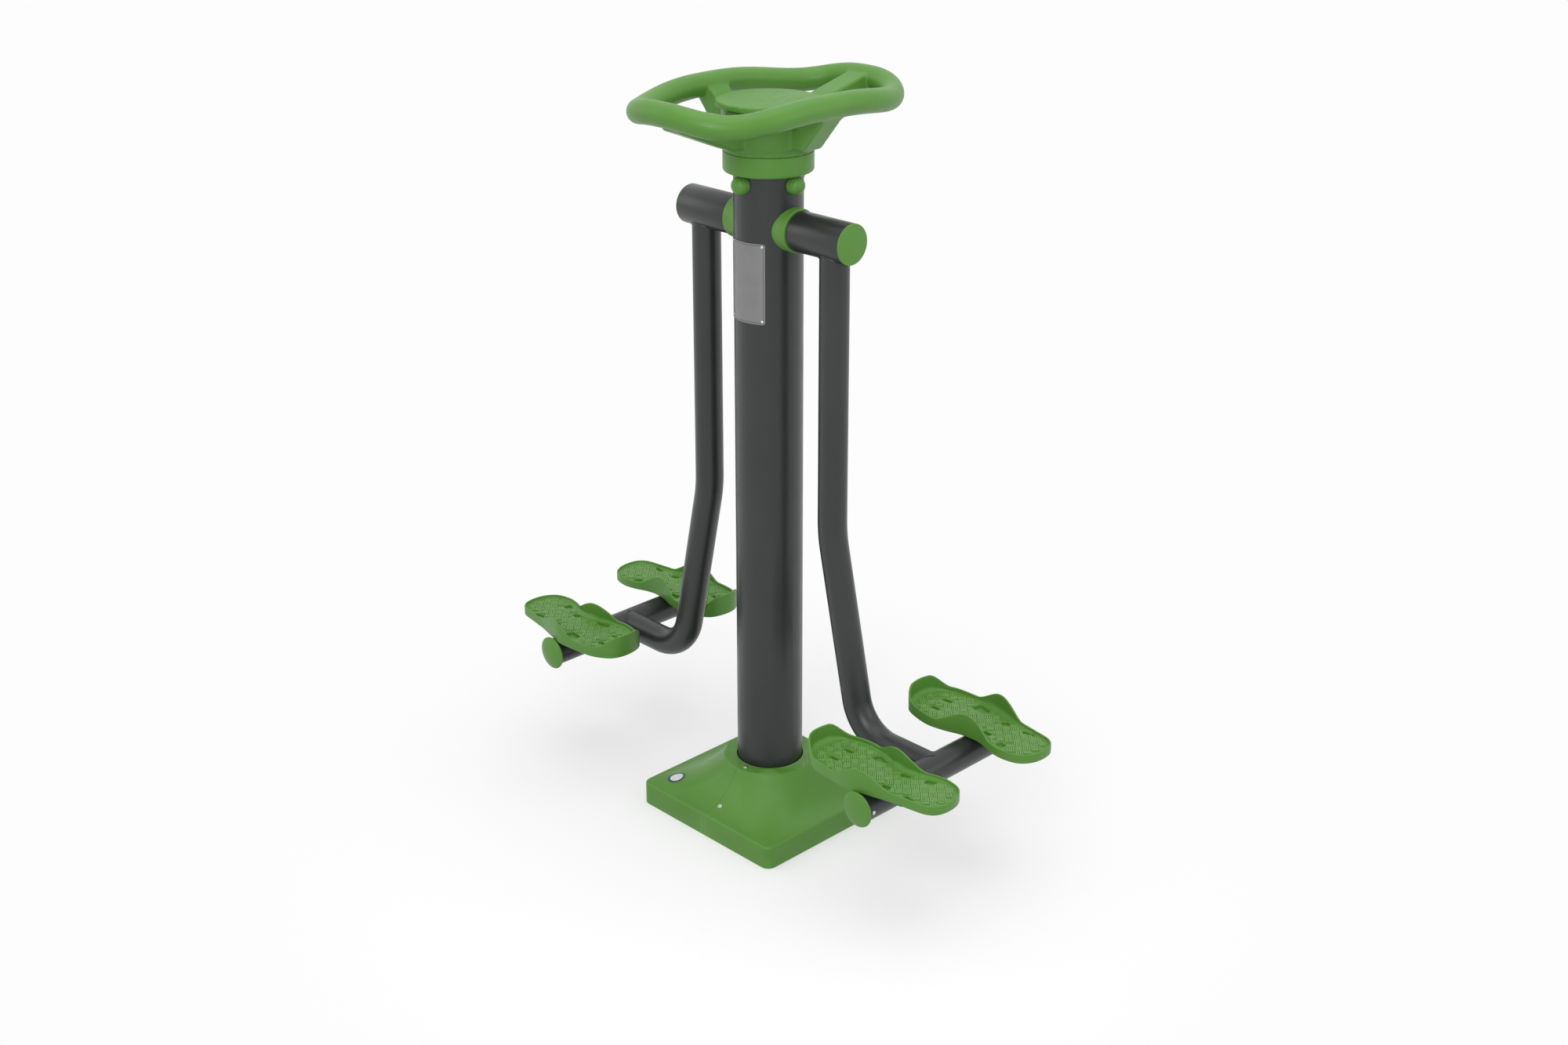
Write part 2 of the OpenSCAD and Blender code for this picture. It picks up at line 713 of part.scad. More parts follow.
module tray_bolt_places() {
    dx = plate_len * boss_shares[0];
    dy = plate_w * boss_shares[1];
    for (x = [-dx, dx]) for (y = [-dy, dy]) translate([tread_x + x, tray_y + y, 0]) children();
}

// Rib under a tray plate, which sits on the tread tube like a saddle
module saddle(y) {
    drop = leg_r * saddle_drop_share;
    half = leg_r * saddle_w_share;
    top = tray_plate_t / 2;
    translate([tread_x, y + saddle_t / 2, tray_plate_bottom]) rotate([90, 0, 0]) linear_extrude(saddle_t)
        polygon([[-half, top], [-leg_r, -drop], [leg_r, -drop], [half, top]]);
}

// Plates under the trays, each with two saddle ribs
module tray_plates() {
    rib_y = plate_w / 2 - saddle_t;
    color(paint) both_ends() difference() {
        union() {
            translate([tread_x - plate_len / 2, tray_y - plate_w / 2, tray_plate_bottom])
                cube([plate_len, plate_w, tray_plate_t]);
            for (y = [-rib_y, rib_y]) saddle(tray_y + y);
        }
        tread_bar(leg_r + weld_gap, 0);
        tray_bolt_places() translate([0, 0, tray_plate_bottom - overrun])
            cylinder(r = tray_bolt_r + seat_gap, h = tray_plate_t + 2 * overrun);
    }
}

// Height that the toe wall adds at a share of the length
function toe_rise(s) = let (t = (s - toe_fall_shares[0]) / (toe_fall_shares[1] - toe_fall_shares[0]))
    tray_flange_h * (1 + cos(180 * t)) / 2;
// Height that the flanges add at a share of the length
function flange_rise(s) = tray_flange_h * (s < flange_shares[1]
    ? sin(90 * (s - flange_shares[0]) / (flange_shares[1] - flange_shares[0]))
    : cos(90 * (s - flange_shares[1]) / (flange_shares[2] - flange_shares[1])));

// Side view of the tray's upper edge, extruded across the tray
module tray_profile() {
    toe = [for (i = [0 : toe_steps]) let (s = lerp(toe_fall_shares[0], toe_fall_shares[1], i / toe_steps))
        [tray_toe_x + s * tray_len, tray_rim_z + toe_rise(s)]];
    side = [for (i = [0 : flange_steps]) let (s = lerp(flange_shares[0], flange_shares[2], i / flange_steps))
        [tray_toe_x + s * tray_len, tray_rim_z + flange_rise(s)]];
    start = tray_toe_x - tray_wall;
    end = tray_toe_x + tray_len + tray_wall;
    translate([0, tray_y + tray_w, 0]) rotate([90, 0, 0]) linear_extrude(2 * tray_w) polygon(concat(
        [[start, tray_bottom], [start, tray_rim_z + tray_flange_h]], toe, side,
        [[end, tray_rim_z], [end, tray_bottom]]));
}

// Ribs under the floor, on a grid
module tray_ribs() {
    cross_pitch = tray_len / (tray_cross_ribs + 1);
    long_pitch = tray_w * tray_long_pitch_share;
    half = (tray_long_ribs - 1) / 2;
    rib_h = tray_floor_h - tray_slab_t + overrun;
    for (i = [1 : tray_cross_ribs])
        translate([tray_toe_x + i * cross_pitch - tray_rib_t / 2, tray_y - tray_w, tray_bottom])
        cube([tray_rib_t, 2 * tray_w, rib_h]);
    for (i = [-half : half])
        translate([tray_toe_x, tray_y + i * long_pitch - tray_rib_t / 2, tray_bottom])
        cube([tray_len, tray_rib_t, rib_h]);
}

// Bar with the tray's outline, drawn in by a given depth
module tray_block(deep, z, h) {
    translate([0, 0, z]) linear_extrude(h) polygon(inset_ring(tray_outline, deep));
}

// Wall round the tray: low at the heel and the ball, high at the toe and in two flanges
module tray_side() {
    h = tray_floor_h + tray_rim_h + tray_flange_h;
    intersection() {
        difference() {
            tray_block(0, tray_bottom, h);
            tray_block(tray_wall, tray_bottom - overrun, h + 2 * overrun);
        }
        tray_profile();
    }
}

module foot_tray() {
    rib_h = tray_floor_h - tray_slab_t / 2;
    color(green) difference() {
        union() {
            tray_side();
            tray_block(tray_wall / 2, tray_floor_z - tray_slab_t, tray_slab_t);
            intersection() {
                tray_block(tray_wall / 2, tray_bottom, rib_h);
                union() {
                    tray_ribs();
                    tray_bolt_places() translate([0, 0, tray_bottom]) cylinder(r = boss_r, h = rib_h);
                }
            }
        }
        translate([0, 0, tray_floor_z - tray_pocket_depth]) {
            for (p = pocket_shares)
                linear_extrude(tray_pocket_depth + overrun) polygon([for (s = p) tray_point(s)]);
            for (c = oval_shares) translate(tray_point(c)) tray_oval();
        }
        tray_bolt_places() translate([0, 0, tray_bottom - overrun])
            cylinder(r = tray_bolt_r + weld_gap, h = tray_bolt_depth + overrun);
    }
}

// Oval pocket with round ends
module tray_oval() {
    half = tray_len * oval_half_shares[0];
    r = tray_len * oval_half_shares[1];
    depth = tray_pocket_depth + overrun;
    for (x = [-1, 1]) translate([x * (half - r), 0, 0]) cylinder(r = r, h = depth);
    translate([r - half, -r, 0]) cube([2 * (half - r), 2 * r, depth]);
}

module near_tray() {
    mirror([0, 1, 0]) foot_tray();
}

module tray_bolts() {
    color(steel) both_ends() tray_bolt_places() {
        translate([0, 0, tray_plate_bottom - tray_bolt_head_t])
            hex_bar(tray_bolt_head_across, tray_bolt_head_t);
        translate([0, 0, tray_plate_bottom - tray_bolt_head_t / 2])
            cylinder(r = tray_bolt_r, h = tray_bolt_head_t / 2 + tray_plate_t + tray_bolt_depth - overrun);
    }
}

// Handwheel

// Point of the rim's centre line, at a turn from the swing axis
function rim_point(t) = let (c = cos(t), s = sin(t), e = 2 / rim_square) [
    rim_x * sign(c) * pow(abs(c), e), rim_y * sign(s) * pow(abs(s), e), rim_h + rim_wave * cos(4 * t)];
function rim_turn(i) = 360 * i / rim_rings;
// Ring of points round the centre line, square to it
function rim_ring(i) = let (
    p = rim_point(rim_turn(i)),
    d = rim_point(rim_turn(i + 1)) - rim_point(rim_turn(i - 1)),
    t = d / norm(d),
    side = cross(t, [0, 0, 1]),
    out = side / norm(side),
    up = cross(out, t))
    [for (k = [0 : rim_sides - 1]) let (a = 360 * k / rim_sides) p + rim_r * (cos(a) * out + sin(a) * up)];

module rim() {
    n = rim_sides;
    m = rim_rings;
    faces = [for (j = [0 : m - 1]) for (k = [0 : n - 1]) let (
        here = j * n, next = ((j + 1) % m) * n, after = (k + 1) % n)
        each [[here + k, next + after, next + k], [here + k, here + after, next + after]]];
    polyhedron(points = [for (j = [0 : m - 1]) each rim_ring(j)], faces = faces);
}

// Arm along +X from the wall of the hub into the rim, extruded from its side view
module arm(reach, shares, root_share) {
    gap = reach - hub_r;
    rise = rim_h + rim_wave - arm_foot;
    start = hub_r - hub_wall / 2;
    points = [for (s = shares) [hub_r + gap * s[0] + rim_r * s[1], arm_foot + rise * s[2] + rim_r * s[3]]];
    translate([0, arm_w / 2, 0]) rotate([90, 0, 0]) linear_extrude(arm_w)
        polygon(concat([[start, arm_foot]], points, [[start, arm_foot + rise * root_share]]));
}

module handwheel() {
    color(green) {
        rim();
        for (a = [0, 180]) rotate([0, 0, a]) arm(rim_x, short_arm_shares, short_root_share);
        for (a = [90, 270]) rotate([0, 0, a]) arm(rim_y, long_arm_shares, long_root_share);
        hub();
    }
}

module hub() {
    difference() {
        rotate_extrude() polygon([
            [0, hub_bottom], [hub_r - groove, hub_bottom], [hub_r, hub_bottom + groove],
            [hub_r, lid_bottom - seat_gap], [0, lid_bottom - seat_gap]]);
        translate([0, 0, hub_bottom + hub_floor_t]) cylinder(r = hub_r - hub_wall, h = lid_top);
        hub_bolt_places() translate([0, 0, hub_bottom - overrun])
            cylinder(r = hub_bolt_r + seat_gap, h = hub_floor_t + 2 * overrun);
    }
}

module hub_bolt_places() {
    circle_r = (spigot_r - spigot_wall) * hub_bolt_circle_share;
    for (a = [45 : 90 : 315]) rotate([0, 0, a]) translate([circle_r, 0, 0]) children();
}

module hub_lid() {
    r = lid_d / 2;
    edge = lid_t / 4;
    spigot = hub_r - hub_wall - seat_gap;
    foot = lid_bottom - lid_spigot_h;
    color(green) rotate_extrude() polygon([
        [0, lid_bottom], [spigot - lid_spigot_t, lid_bottom], [spigot - lid_spigot_t, foot],
        [spigot, foot], [spigot, lid_bottom], [r - edge, lid_bottom], [r, lid_bottom + edge],
        [r, lid_top - edge], [r - edge / 3, lid_top - edge / 3], [r - edge, lid_top], [0, lid_top]]);
}

module hub_collar() {
    bottom = post_h - collar_drop;
    top = hub_bottom - seat_gap;
    color(green) rotate_extrude() difference() {
        union() {
            translate([0, bottom + collar_edge_r]) square([hub_r, top - bottom - collar_edge_r - groove]);
            translate([0, bottom]) square([hub_r - collar_edge_r, top - bottom]);
            translate([hub_r - collar_edge_r, bottom + collar_edge_r]) circle(r = collar_edge_r);
            polygon([[0, top - groove], [hub_r, top - groove], [hub_r - groove, top], [0, top]]);
        }
        translate([0, bottom - overrun]) square([post_r + seat_gap, collar_drop + 2 * overrun]);
        translate([0, post_h - seat_gap]) square([flange_r + seat_gap, hub_bottom]);
    }
}

module wheel_spigot() {
    bore = spigot_r - spigot_wall;
    color(galvanised) difference() {
        union() {
            translate([0, 0, post_h - spigot_len]) cylinder(r = spigot_r, h = spigot_len);
            translate([0, 0, post_h]) cylinder(r = flange_r, h = flange_t);
        }
        difference() {
            translate([0, 0, post_h - spigot_len - overrun]) cylinder(r = bore, h = spigot_len + overrun);
            wheel_bolt_places() translate([0, 0, wheel_nut_start])
                hex_bar(wheel_nut_across, wheel_nut_t + spigot_wall / 2);
        }
        wheel_bolt_places() cylinder(r = wheel_bolt_r + weld_gap, h = post_d);
        hub_bolt_places() cylinder(r = hub_bolt_r + seat_gap, h = post_h + flange_t + overrun);
    }
}

module wheel_bolts() {
    color(steel) wheel_bolt_places() {
        translate([0, 0, wheel_nut_start])
            cylinder(r = wheel_bolt_r, h = post_r + overrun - wheel_nut_start);
        translate([0, 0, post_r + weld_gap]) cylinder(r = wheel_bolt_head_r, h = wheel_bolt_head_t);
    }
}

module wheel_bolt_caps() {
    color(green) difference() {
        wheel_bolt_places() translate([0, 0, post_r - cap_ball_in]) sphere(r = cap_ball_r);
        cylinder(r = post_r + weld_gap, h = post_h);
        wheel_bolt_places()
            cylinder(r = wheel_bolt_head_r + seat_gap, h = post_r + wheel_bolt_head_t + seat_gap);
    }
}

module hub_bolts() {
    shank = hub_floor_t + flange_t + hub_bolt_head_t;
    color(steel) hub_bolt_places() {
        translate([0, 0, hub_bottom + hub_floor_t]) hex_bar(hub_bolt_head_across, hub_bolt_head_t);
        translate([0, 0, hub_bottom + hub_floor_t - shank - overrun])
            cylinder(r = hub_bolt_r, h = shank + 2 * overrun);
        translate([0, 0, post_h - hub_bolt_head_t]) hex_bar(hub_bolt_head_across, hub_bolt_head_t);
    }
}

post_tube();
base_plate();
base_gussets();
right_base_cover();
left_base_cover();
cover_screws();
info_plate();
plate_rivets();
pivot_sleeve();
pivot_axle();
pivot_ring();  // right_pivot_ring
other_side() pivot_ring();  // left_pivot_ring
bearing_spacers();  // right_bearing_spacers
other_side() bearing_spacers();  // left_bearing_spacers
inner_races();  // right_inner_races
other_side() inner_races();  // left_inner_races
axle_washer();  // right_axle_washer
other_side() axle_washer();  // left_axle_washer
axle_nut();  // right_axle_nut
other_side() axle_nut();  // left_axle_nut
wheel_spigot();
wheel_bolts();
wheel_bolt_caps();
hub_collar();
handwheel();
hub_bolts();
hub_lid();
pivot_housing();  // right_pivot_housing
other_side() pivot_housing();  // left_pivot_housing
outer_races();  // right_outer_races
other_side() outer_races();  // left_outer_races
bearing_balls();  // right_bearing_balls
other_side() bearing_balls();  // left_bearing_balls
end_cap();  // right_end_cap
other_side() end_cap();  // left_end_cap
leg_tube();  // right_leg_tube
other_side() leg_tube();  // left_leg_tube
tread_tube();  // right_tread_tube
other_side() tread_tube();  // left_tread_tube
tube_caps();  // right_tube_caps
other_side() tube_caps();  // left_tube_caps
cap_screws();  // right_cap_screws
other_side() cap_screws();  // left_cap_screws
tray_plates();  // right_tray_plates
other_side() tray_plates();  // left_tray_plates
near_tray();  // right_near_tray
other_side() near_tray();  // left_near_tray
foot_tray();  // right_far_tray
other_side() foot_tray();  // left_far_tray
tray_bolts();  // right_tray_bolts
other_side() tray_bolts();  // left_tray_bolts
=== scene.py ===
# %% [markdown]
# # An outdoor air walker
# The machine stands in a park: a dark painted post on a green base cover, a fixed green handwheel
# on top, and two dark legs that swing beside the post with a pair of foot trays each.
# The frame brings every part at its real size, in metres, with Z up and X along the axle. This
# lesson gives the parts their finish and models those whose looks need more than a plain solid.

# %% Load the frame
import json
import math

import bmesh
import bpy
from mathutils import Matrix, Vector, noise
from mathutils.bvhtree import BVHTree


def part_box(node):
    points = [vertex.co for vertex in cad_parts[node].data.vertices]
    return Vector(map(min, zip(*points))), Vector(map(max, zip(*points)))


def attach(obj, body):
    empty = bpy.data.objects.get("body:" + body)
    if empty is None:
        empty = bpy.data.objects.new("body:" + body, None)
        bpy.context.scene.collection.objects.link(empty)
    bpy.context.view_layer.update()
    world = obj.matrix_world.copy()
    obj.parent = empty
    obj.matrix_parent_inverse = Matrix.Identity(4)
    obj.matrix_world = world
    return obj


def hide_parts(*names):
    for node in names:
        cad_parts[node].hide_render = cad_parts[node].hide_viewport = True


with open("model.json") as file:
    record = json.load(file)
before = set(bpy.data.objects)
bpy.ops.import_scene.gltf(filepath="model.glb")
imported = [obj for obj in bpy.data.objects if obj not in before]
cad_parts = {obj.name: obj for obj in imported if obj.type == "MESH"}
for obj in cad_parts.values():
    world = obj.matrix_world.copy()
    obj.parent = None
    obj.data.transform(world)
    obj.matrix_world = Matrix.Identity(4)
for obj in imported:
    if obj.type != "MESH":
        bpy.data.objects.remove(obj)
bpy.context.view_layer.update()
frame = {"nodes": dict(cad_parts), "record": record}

scene = bpy.context.scene

# %% [markdown]
# ## Reading sizes off the frame
# A new piece has to sit exactly where its carrier is, so places come from the frame's own boxes
# and not from typed numbers. A box gives the lowest and the highest corner of one part.

# %% Sizes of the main parts


def low(node):
    return Vector(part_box(node)[0])


def high(node):
    return Vector(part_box(node)[1])


def size(node):
    return high(node) - low(node)


def centre(node):
    return (low(node) + high(node)) / 2


MM = 0.001
POST_R = size("post_tube").x / 2
POST_TOP = high("post_tube").z
PIVOT_Z = centre("right_pivot_housing").z
LEG_R = size("right_tread_tube").x / 2
TREAD_X = centre("right_tread_tube").x
TREAD_Z = centre("right_tread_tube").z
print("post radius", round(POST_R, 4), "axle height", round(PIVOT_Z, 4))
print("tread tube at", round(TREAD_X, 4), round(TREAD_Z, 4))

# %% [markdown]
# ## Camera
# The photograph was taken from the corner between the front and the right side, well above the
# trays. Its place and lens were worked out from the upright post and the round parts. The picture
# was cropped a little low, which is what a small vertical shift of the lens does.

# %% Place the camera
CAMERA_PLACE = (2.8292, -2.7435, 2.3355)
CAMERA_YAW = 45.437
CAMERA_PITCH = 19.636
FOCAL_PIXELS = 2608.76
PHOTO_WIDTH = 2000
PHOTO_HEIGHT = 1333
AXIS_ROW = 513.82
SENSOR = 36.0

lens = bpy.data.cameras.new("camera")
lens.sensor_width = SENSOR
lens.lens = SENSOR * FOCAL_PIXELS / PHOTO_WIDTH
lens.shift_y = (AXIS_ROW - PHOTO_HEIGHT / 2) / PHOTO_WIDTH
camera = bpy.data.objects.new("camera", lens)
camera.location = CAMERA_PLACE
camera.rotation_euler = (math.radians(90 - CAMERA_PITCH), 0, math.radians(CAMERA_YAW))
scene.collection.objects.link(camera)
scene.camera = camera
print("lens", round(lens.lens, 2), "mm, shift", round(lens.shift_y, 4))

# %% [markdown]
# ## Studio
# The light in the photograph is soft and comes mostly from above, so the object has wide, gentle
# highlights and a faint shadow. The world is brighter overhead than below. One large lamp above
# gives the highlights and the shadow, one on each side opens the dark tubes, and one beside the
# camera lights the fronts. The camera and glossy surfaces see plain white in place of that world,
# which comes from Light Path and adds no light to the object.

# %% Helpers for node trees


def tree_of(owner):
    owner.use_nodes = True
    owner.node_tree.nodes.clear()
    return owner.node_tree


def add_node(tree, kind, inputs, out=0, **settings):
    """Adds a node. An input is a value on its own socket, or the output of another node."""
    node = tree.nodes.new("ShaderNode" + kind)
    for name, value in settings.items():
        setattr(node, name, value)
    for socket, value in inputs.items():
        if isinstance(value, bpy.types.NodeSocket):
            tree.links.new(value, node.inputs[socket])
        else:
            node.inputs[socket].default_value = value
    return node.outputs[out] if node.outputs else None


def seen_directly(tree):
    """1 for what the camera, a glossy surface or glass sees, and 0 for light on the object."""
    path = tree.nodes.new("ShaderNodeLightPath").outputs
    total = path["Is Camera Ray"]
    for name in ("Is Glossy Ray", "Is Transmission Ray"):
        total = add_node(tree, "Math", {0: total, 1: path[name]}, operation="MAXIMUM")
    return total


def grey(value):
    return (value, value, value, 1.0)


# %% World
WHITE = 0.982
SKY_LOW = 0.42
SKY_HIGH = 0.85

scene.world = bpy.data.worlds.new("studio")
tree = tree_of(scene.world)
direction = add_node(tree, "TexCoord", {}, "Generated")
height = add_node(tree, "SeparateXYZ", {0: direction}, "Z")
sky = add_node(tree, "MapRange", {"Value": height, "To Min": SKY_LOW, "To Max": SKY_HIGH}, "Result")
ambient = add_node(tree, "Background", {"Color": grey(1.0), "Strength": sky})
backdrop = add_node(tree, "Background", {"Color": grey(WHITE), "Strength": 1.0})
mix = add_node(tree, "MixShader", {"Fac": seen_directly(tree), 1: ambient, 2: backdrop})
add_node(tree, "OutputWorld", {"Surface": mix})
print("world from", SKY_LOW, "at the horizon to", SKY_HIGH, "overhead")

# %% Floor
FLOOR_SIDE = 120.0
FLOOR_COLOUR = 0.62
FLOOR_LIFT = 0.352
WHITE_FROM = 0.5
WHITE_TO = 1.25

floor_material = bpy.data.materials.new("floor")
tree = tree_of(floor_material)
seen = seen_directly(tree)
matt = add_node(tree, "BsdfDiffuse", {"Color": grey(FLOOR_COLOUR)})
lift = add_node(tree, "Math", {0: seen, 1: FLOOR_LIFT}, operation="MULTIPLY")
glow = add_node(tree, "Emission", {"Color": grey(1.0), "Strength": lift})
lit = add_node(tree, "AddShader", {0: matt, 1: glow})
place = add_node(tree, "TexCoord", {}, "Object")
away = add_node(tree, "VectorMath", {0: place}, "Value", operation="LENGTH")
fade = add_node(tree, "MapRange", {"Value": away, "From Min": WHITE_FROM, "From Max": WHITE_TO},
                "Result", interpolation_type="SMOOTHSTEP")
far = add_node(tree, "Math", {0: fade, 1: seen}, operation="MULTIPLY")
white = add_node(tree, "Emission", {"Color": grey(WHITE)})
mix = add_node(tree, "MixShader", {"Fac": far, 1: lit, 2: white})
add_node(tree, "OutputMaterial", {"Surface": mix})

bm = bmesh.new()
bmesh.ops.create_grid(bm, x_segments=1, y_segments=1, size=FLOOR_SIDE / 2)
floor_mesh = bpy.data.meshes.new("floor")
bm.to_mesh(floor_mesh)
bm.free()
floor_mesh.materials.append(floor_material)
floor = bpy.data.objects.new("floor", floor_mesh)
scene.collection.objects.link(floor)
print("floor", FLOOR_SIDE, "m wide")

# %% Lamps


def area_lamp(name, place, target, side, watts):
    lamp = bpy.data.lights.new(name, "AREA")
    lamp.shape = "SQUARE"
    lamp.size = side
    lamp.energy = watts
    thing = bpy.data.objects.new(name, lamp)
    thing.location = place
    thing.rotation_euler = (Vector(target) - Vector(place)).to_track_quat("-Z", "Y").to_euler()
    scene.collection.objects.link(thing)


MIDDLE = (0.0, 0.0, 0.8)
CHEST = (0.0, 0.0, 1.3)
area_lamp("key_above", (0.2, -0.2, 4.4), MIDDLE, 3.6, 40)
area_lamp("side_left", (-3.4, -2.2, 2.4), MIDDLE, 2.0, 12)
area_lamp("side_right", (3.0, 1.6, 2.2), MIDDLE, 2.0, 14)
area_lamp("front", (2.1, -2.7, 2.7), CHEST, 1.6, 44)

# %% [markdown]
# ## Finishes
# Each finish is one node material. The pattern is read in object coordinates, so it has the same
# real size on every part: a powder coat's orange peel is about 2 mm, a mould's grain about 1 mm.
# Colour and roughness vary a little, because a surface that is the same all over looks unreal.

# %% Helpers for finishes
MIDDLE_TONES = (0.3, 0.7)


def noise_at(tree, scale, detail=2.0):
    """Noise in object coordinates; the scale counts its clouds on one metre."""
    place = add_node(tree, "TexCoord", {}, "Object")
    return add_node(tree, "TexNoise", {"Vector": place, "Scale": scale, "Detail": detail}, "Fac")


def clouds(tree, scale, detail, lowest=0.0, highest=1.0):
    """Noise whose middle tones are stretched to a range, for colour or roughness."""
    return add_node(tree, "MapRange", {
        "Value": noise_at(tree, scale, detail), "From Min": MIDDLE_TONES[0],
        "From Max": MIDDLE_TONES[1], "To Min": lowest, "To Max": highest}, "Result")


def blend(tree, factor, first, second):
    """One colour where the factor is 0 and the other where it is 1."""
    a, b = ((*tone, 1.0) if isinstance(tone, tuple) else tone for tone in (first, second))
    return add_node(tree, "Mix", {"A": a, "B": b, "Factor": factor}, "Result", data_type="RGBA")


def bump_from(tree, height, distance, strength):
    return add_node(tree, "Bump", {"Height": height, "Distance": distance, "Strength": strength},
                    "Normal")


def new_finish(name):
    material = bpy.data.materials.new(name)
    return material, tree_of(material)


def finished(material, tree, inputs):
    """Ends a finish with its shader. What is the same all over stays on the shader's sockets."""
    shader = add_node(tree, "BsdfPrincipled", inputs)
    add_node(tree, "OutputMaterial", {"Surface": shader})
    return material


# %% Dark powder coat
COAT_TONES = ((0.019, 0.021, 0.0215), (0.027, 0.029, 0.0295))
COAT_ROUGH = (0.30, 0.38)
PEEL_SCALE = 420.0
PEEL_DEPTH = 0.0004


def powder_coat():
    material, tree = new_finish("dark_powder_coat")
    return finished(material, tree, {
        "Base Color": blend(tree, clouds(tree, 5.0, 4.0), *COAT_TONES),
        "Roughness": clouds(tree, 24.0, 3.0, *COAT_ROUGH),
        "Normal": bump_from(tree, noise_at(tree, PEEL_SCALE, 1.5), PEEL_DEPTH, 0.35)})


# %% Green moulded plastic
GREEN_TONES = ((0.090, 0.246, 0.034), (0.103, 0.272, 0.042))
# Paler green painted on outward edges: partly wear, partly a painted highlight along the rims.
GREEN_WORN_HIGHLIGHT = (0.19, 0.38, 0.11)
GREEN_SHEEN = 0.34
WORN_HIGHLIGHT_EDGE = (0.56, 0.72)


def worn_and_highlit_edges(tree):
    """1 on outward edges, which are painted paler both for rubbed wear and as a painted highlight,
    and 0 elsewhere.
    """
    bend = add_node(tree, "NewGeometry", {}, "Pointiness")
    return add_node(tree, "MapRange", {"Value": bend, "From Min": WORN_HIGHLIGHT_EDGE[0],
                                       "From Max": WORN_HIGHLIGHT_EDGE[1]}, "Result")


def pebbles_at(tree, scale):
    """Rounded bumps side by side, high in their middles."""
    place = add_node(tree, "TexCoord", {}, "Object")
    cells = add_node(tree, "TexVoronoi", {"Vector": place, "Scale": scale, "Smoothness": 0.5},
                     "Distance", feature="SMOOTH_F1")
    return add_node(tree, "Math", {0: 1.0, 1: cells}, operation="SUBTRACT")


def green_plastic(name, grain, grain_scale, grain_depth, rough):
    material, tree = new_finish(name)
    fresh = blend(tree, clouds(tree, 9.0, 5.0), *GREEN_TONES)
    return finished(material, tree, {
        "Base Color": blend(tree, worn_and_highlit_edges(tree), fresh, GREEN_WORN_HIGHLIGHT),
        "Specular IOR Level": GREEN_SHEEN,
        "Roughness": clouds(tree, 60.0, 3.0, *rough),
        "Normal": bump_from(tree, grain(tree, grain_scale), grain_depth, 0.6)})


# %% Bare steel


def darker(tone, share):
    return tuple(share * value for value in tone)


def steel(name, tone, rough, grain_scale):
    material, tree = new_finish(name)
    return finished(material, tree, {
        "Base Color": blend(tree, clouds(tree, 30.0, 4.0), darker(tone, 0.92), tone),
        "Metallic": 1.0,
        "Roughness": clouds(tree, 90.0, 3.0, *rough),
        "Normal": bump_from(tree, noise_at(tree, grain_scale), 0.0002, 0.3)})


# %% Printed frame of the information plate, and sticker film
PLATE_HALF_ANGLE = math.radians(40)
PLATE_INK = (0.03, 0.03, 0.03)
LINE_IN = 3.4 * MM
LINE_HALF = 0.35 * MM


def framed_sheet(tone, rough):
    """Bare metal with one thin printed line along its edges, drawn from the place on the post."""
    material, tree = new_finish("framed_sheet")

    def maths(operation, *values):
        return add_node(tree, "Math", dict(enumerate(values)), operation=operation)

    place = add_node(tree, "TexCoord", {}, "Object")
    x, y, z = (add_node(tree, "SeparateXYZ", {0: place}, name) for name in "XYZ")
    bottom, top = low("info_plate").z, high("info_plate").z
    turn = maths("ABSOLUTE", maths("ARCTAN2", x, maths("MULTIPLY", y, -1.0)))
    from_side = maths("MULTIPLY", maths("SUBTRACT", PLATE_HALF_ANGLE, turn), POST_R)
    from_middle = maths("ABSOLUTE", maths("SUBTRACT", z, (top + bottom) / 2))
    from_end = maths("SUBTRACT", (top - bottom) / 2, from_middle)
    line = maths("COMPARE", maths("MINIMUM", from_side, from_end), LINE_IN, LINE_HALF)
    bare = blend(tree, clouds(tree, 40.0, 4.0), darker(tone, 0.93), tone)
    return finished(material, tree, {
        "Base Color": blend(tree, line, bare, PLATE_INK), "Metallic": 0.85,
        "Roughness": clouds(tree, 90.0, 3.0, *rough)})


def film(name, tone):
    material, tree = new_finish(name)
    return finished(material, tree, {
        "Base Color": blend(tree, clouds(tree, 60.0, 3.0), darker(tone, 0.94), tone),
        "Roughness": clouds(tree, 80.0, 2.0, 0.28, 0.36)})


# %% Make the finishes
SHEET_TONE = (0.245, 0.245, 0.248)
GREEN = green_plastic("green_plastic", noise_at, 900.0, 0.0003, (0.34, 0.42))
PEBBLED = green_plastic("pebbled_green_plastic", pebbles_at, 190.0, 0.0016, (0.42, 0.50))
SHEET = framed_sheet(SHEET_TONE, (0.36, 0.46))
STICKER_WHITE = film("sticker_white", (0.72, 0.73, 0.74))
STICKER_TEAL = film("sticker_teal", (0.02, 0.06, 0.075))
FINISH = {"dark_paint": powder_coat(), "green_plastic": GREEN,
          "zinc_steel": steel("galvanised_steel", (0.46, 0.48, 0.49), (0.42, 0.55), 220.0),
          "bright_steel": steel("bright_steel", (0.62, 0.62, 0.60), (0.22, 0.34), 500.0),
          "plate_steel": steel("plate_steel", SHEET_TONE, (0.34, 0.44), 500.0)}
print("finishes", sorted(FINISH))

# %% [markdown]
# ## Finishes on the frame's own parts
# Most parts already have their right shape. The record says which finish each of them has.

# %% Paint the frame
for part in frame["record"]["subparts"]:
    node = frame["nodes"][part["node"]]
    node.data.materials.clear()
    node.data.materials.append(FINISH[part["material_slot"]])

# %% [markdown]
# ## Helpers for new pieces
# Three operations make nearly everything here. A loft skins a row of rings, a revolve turns a
# profile round an axis, and a fuse joins shells that overlap into one skin with soft corners,
# which is how a rotational or blow mould leaves them. Every piece rides on a body of the machine,
# so it moves with it, and takes over from the plain part that it shows better.

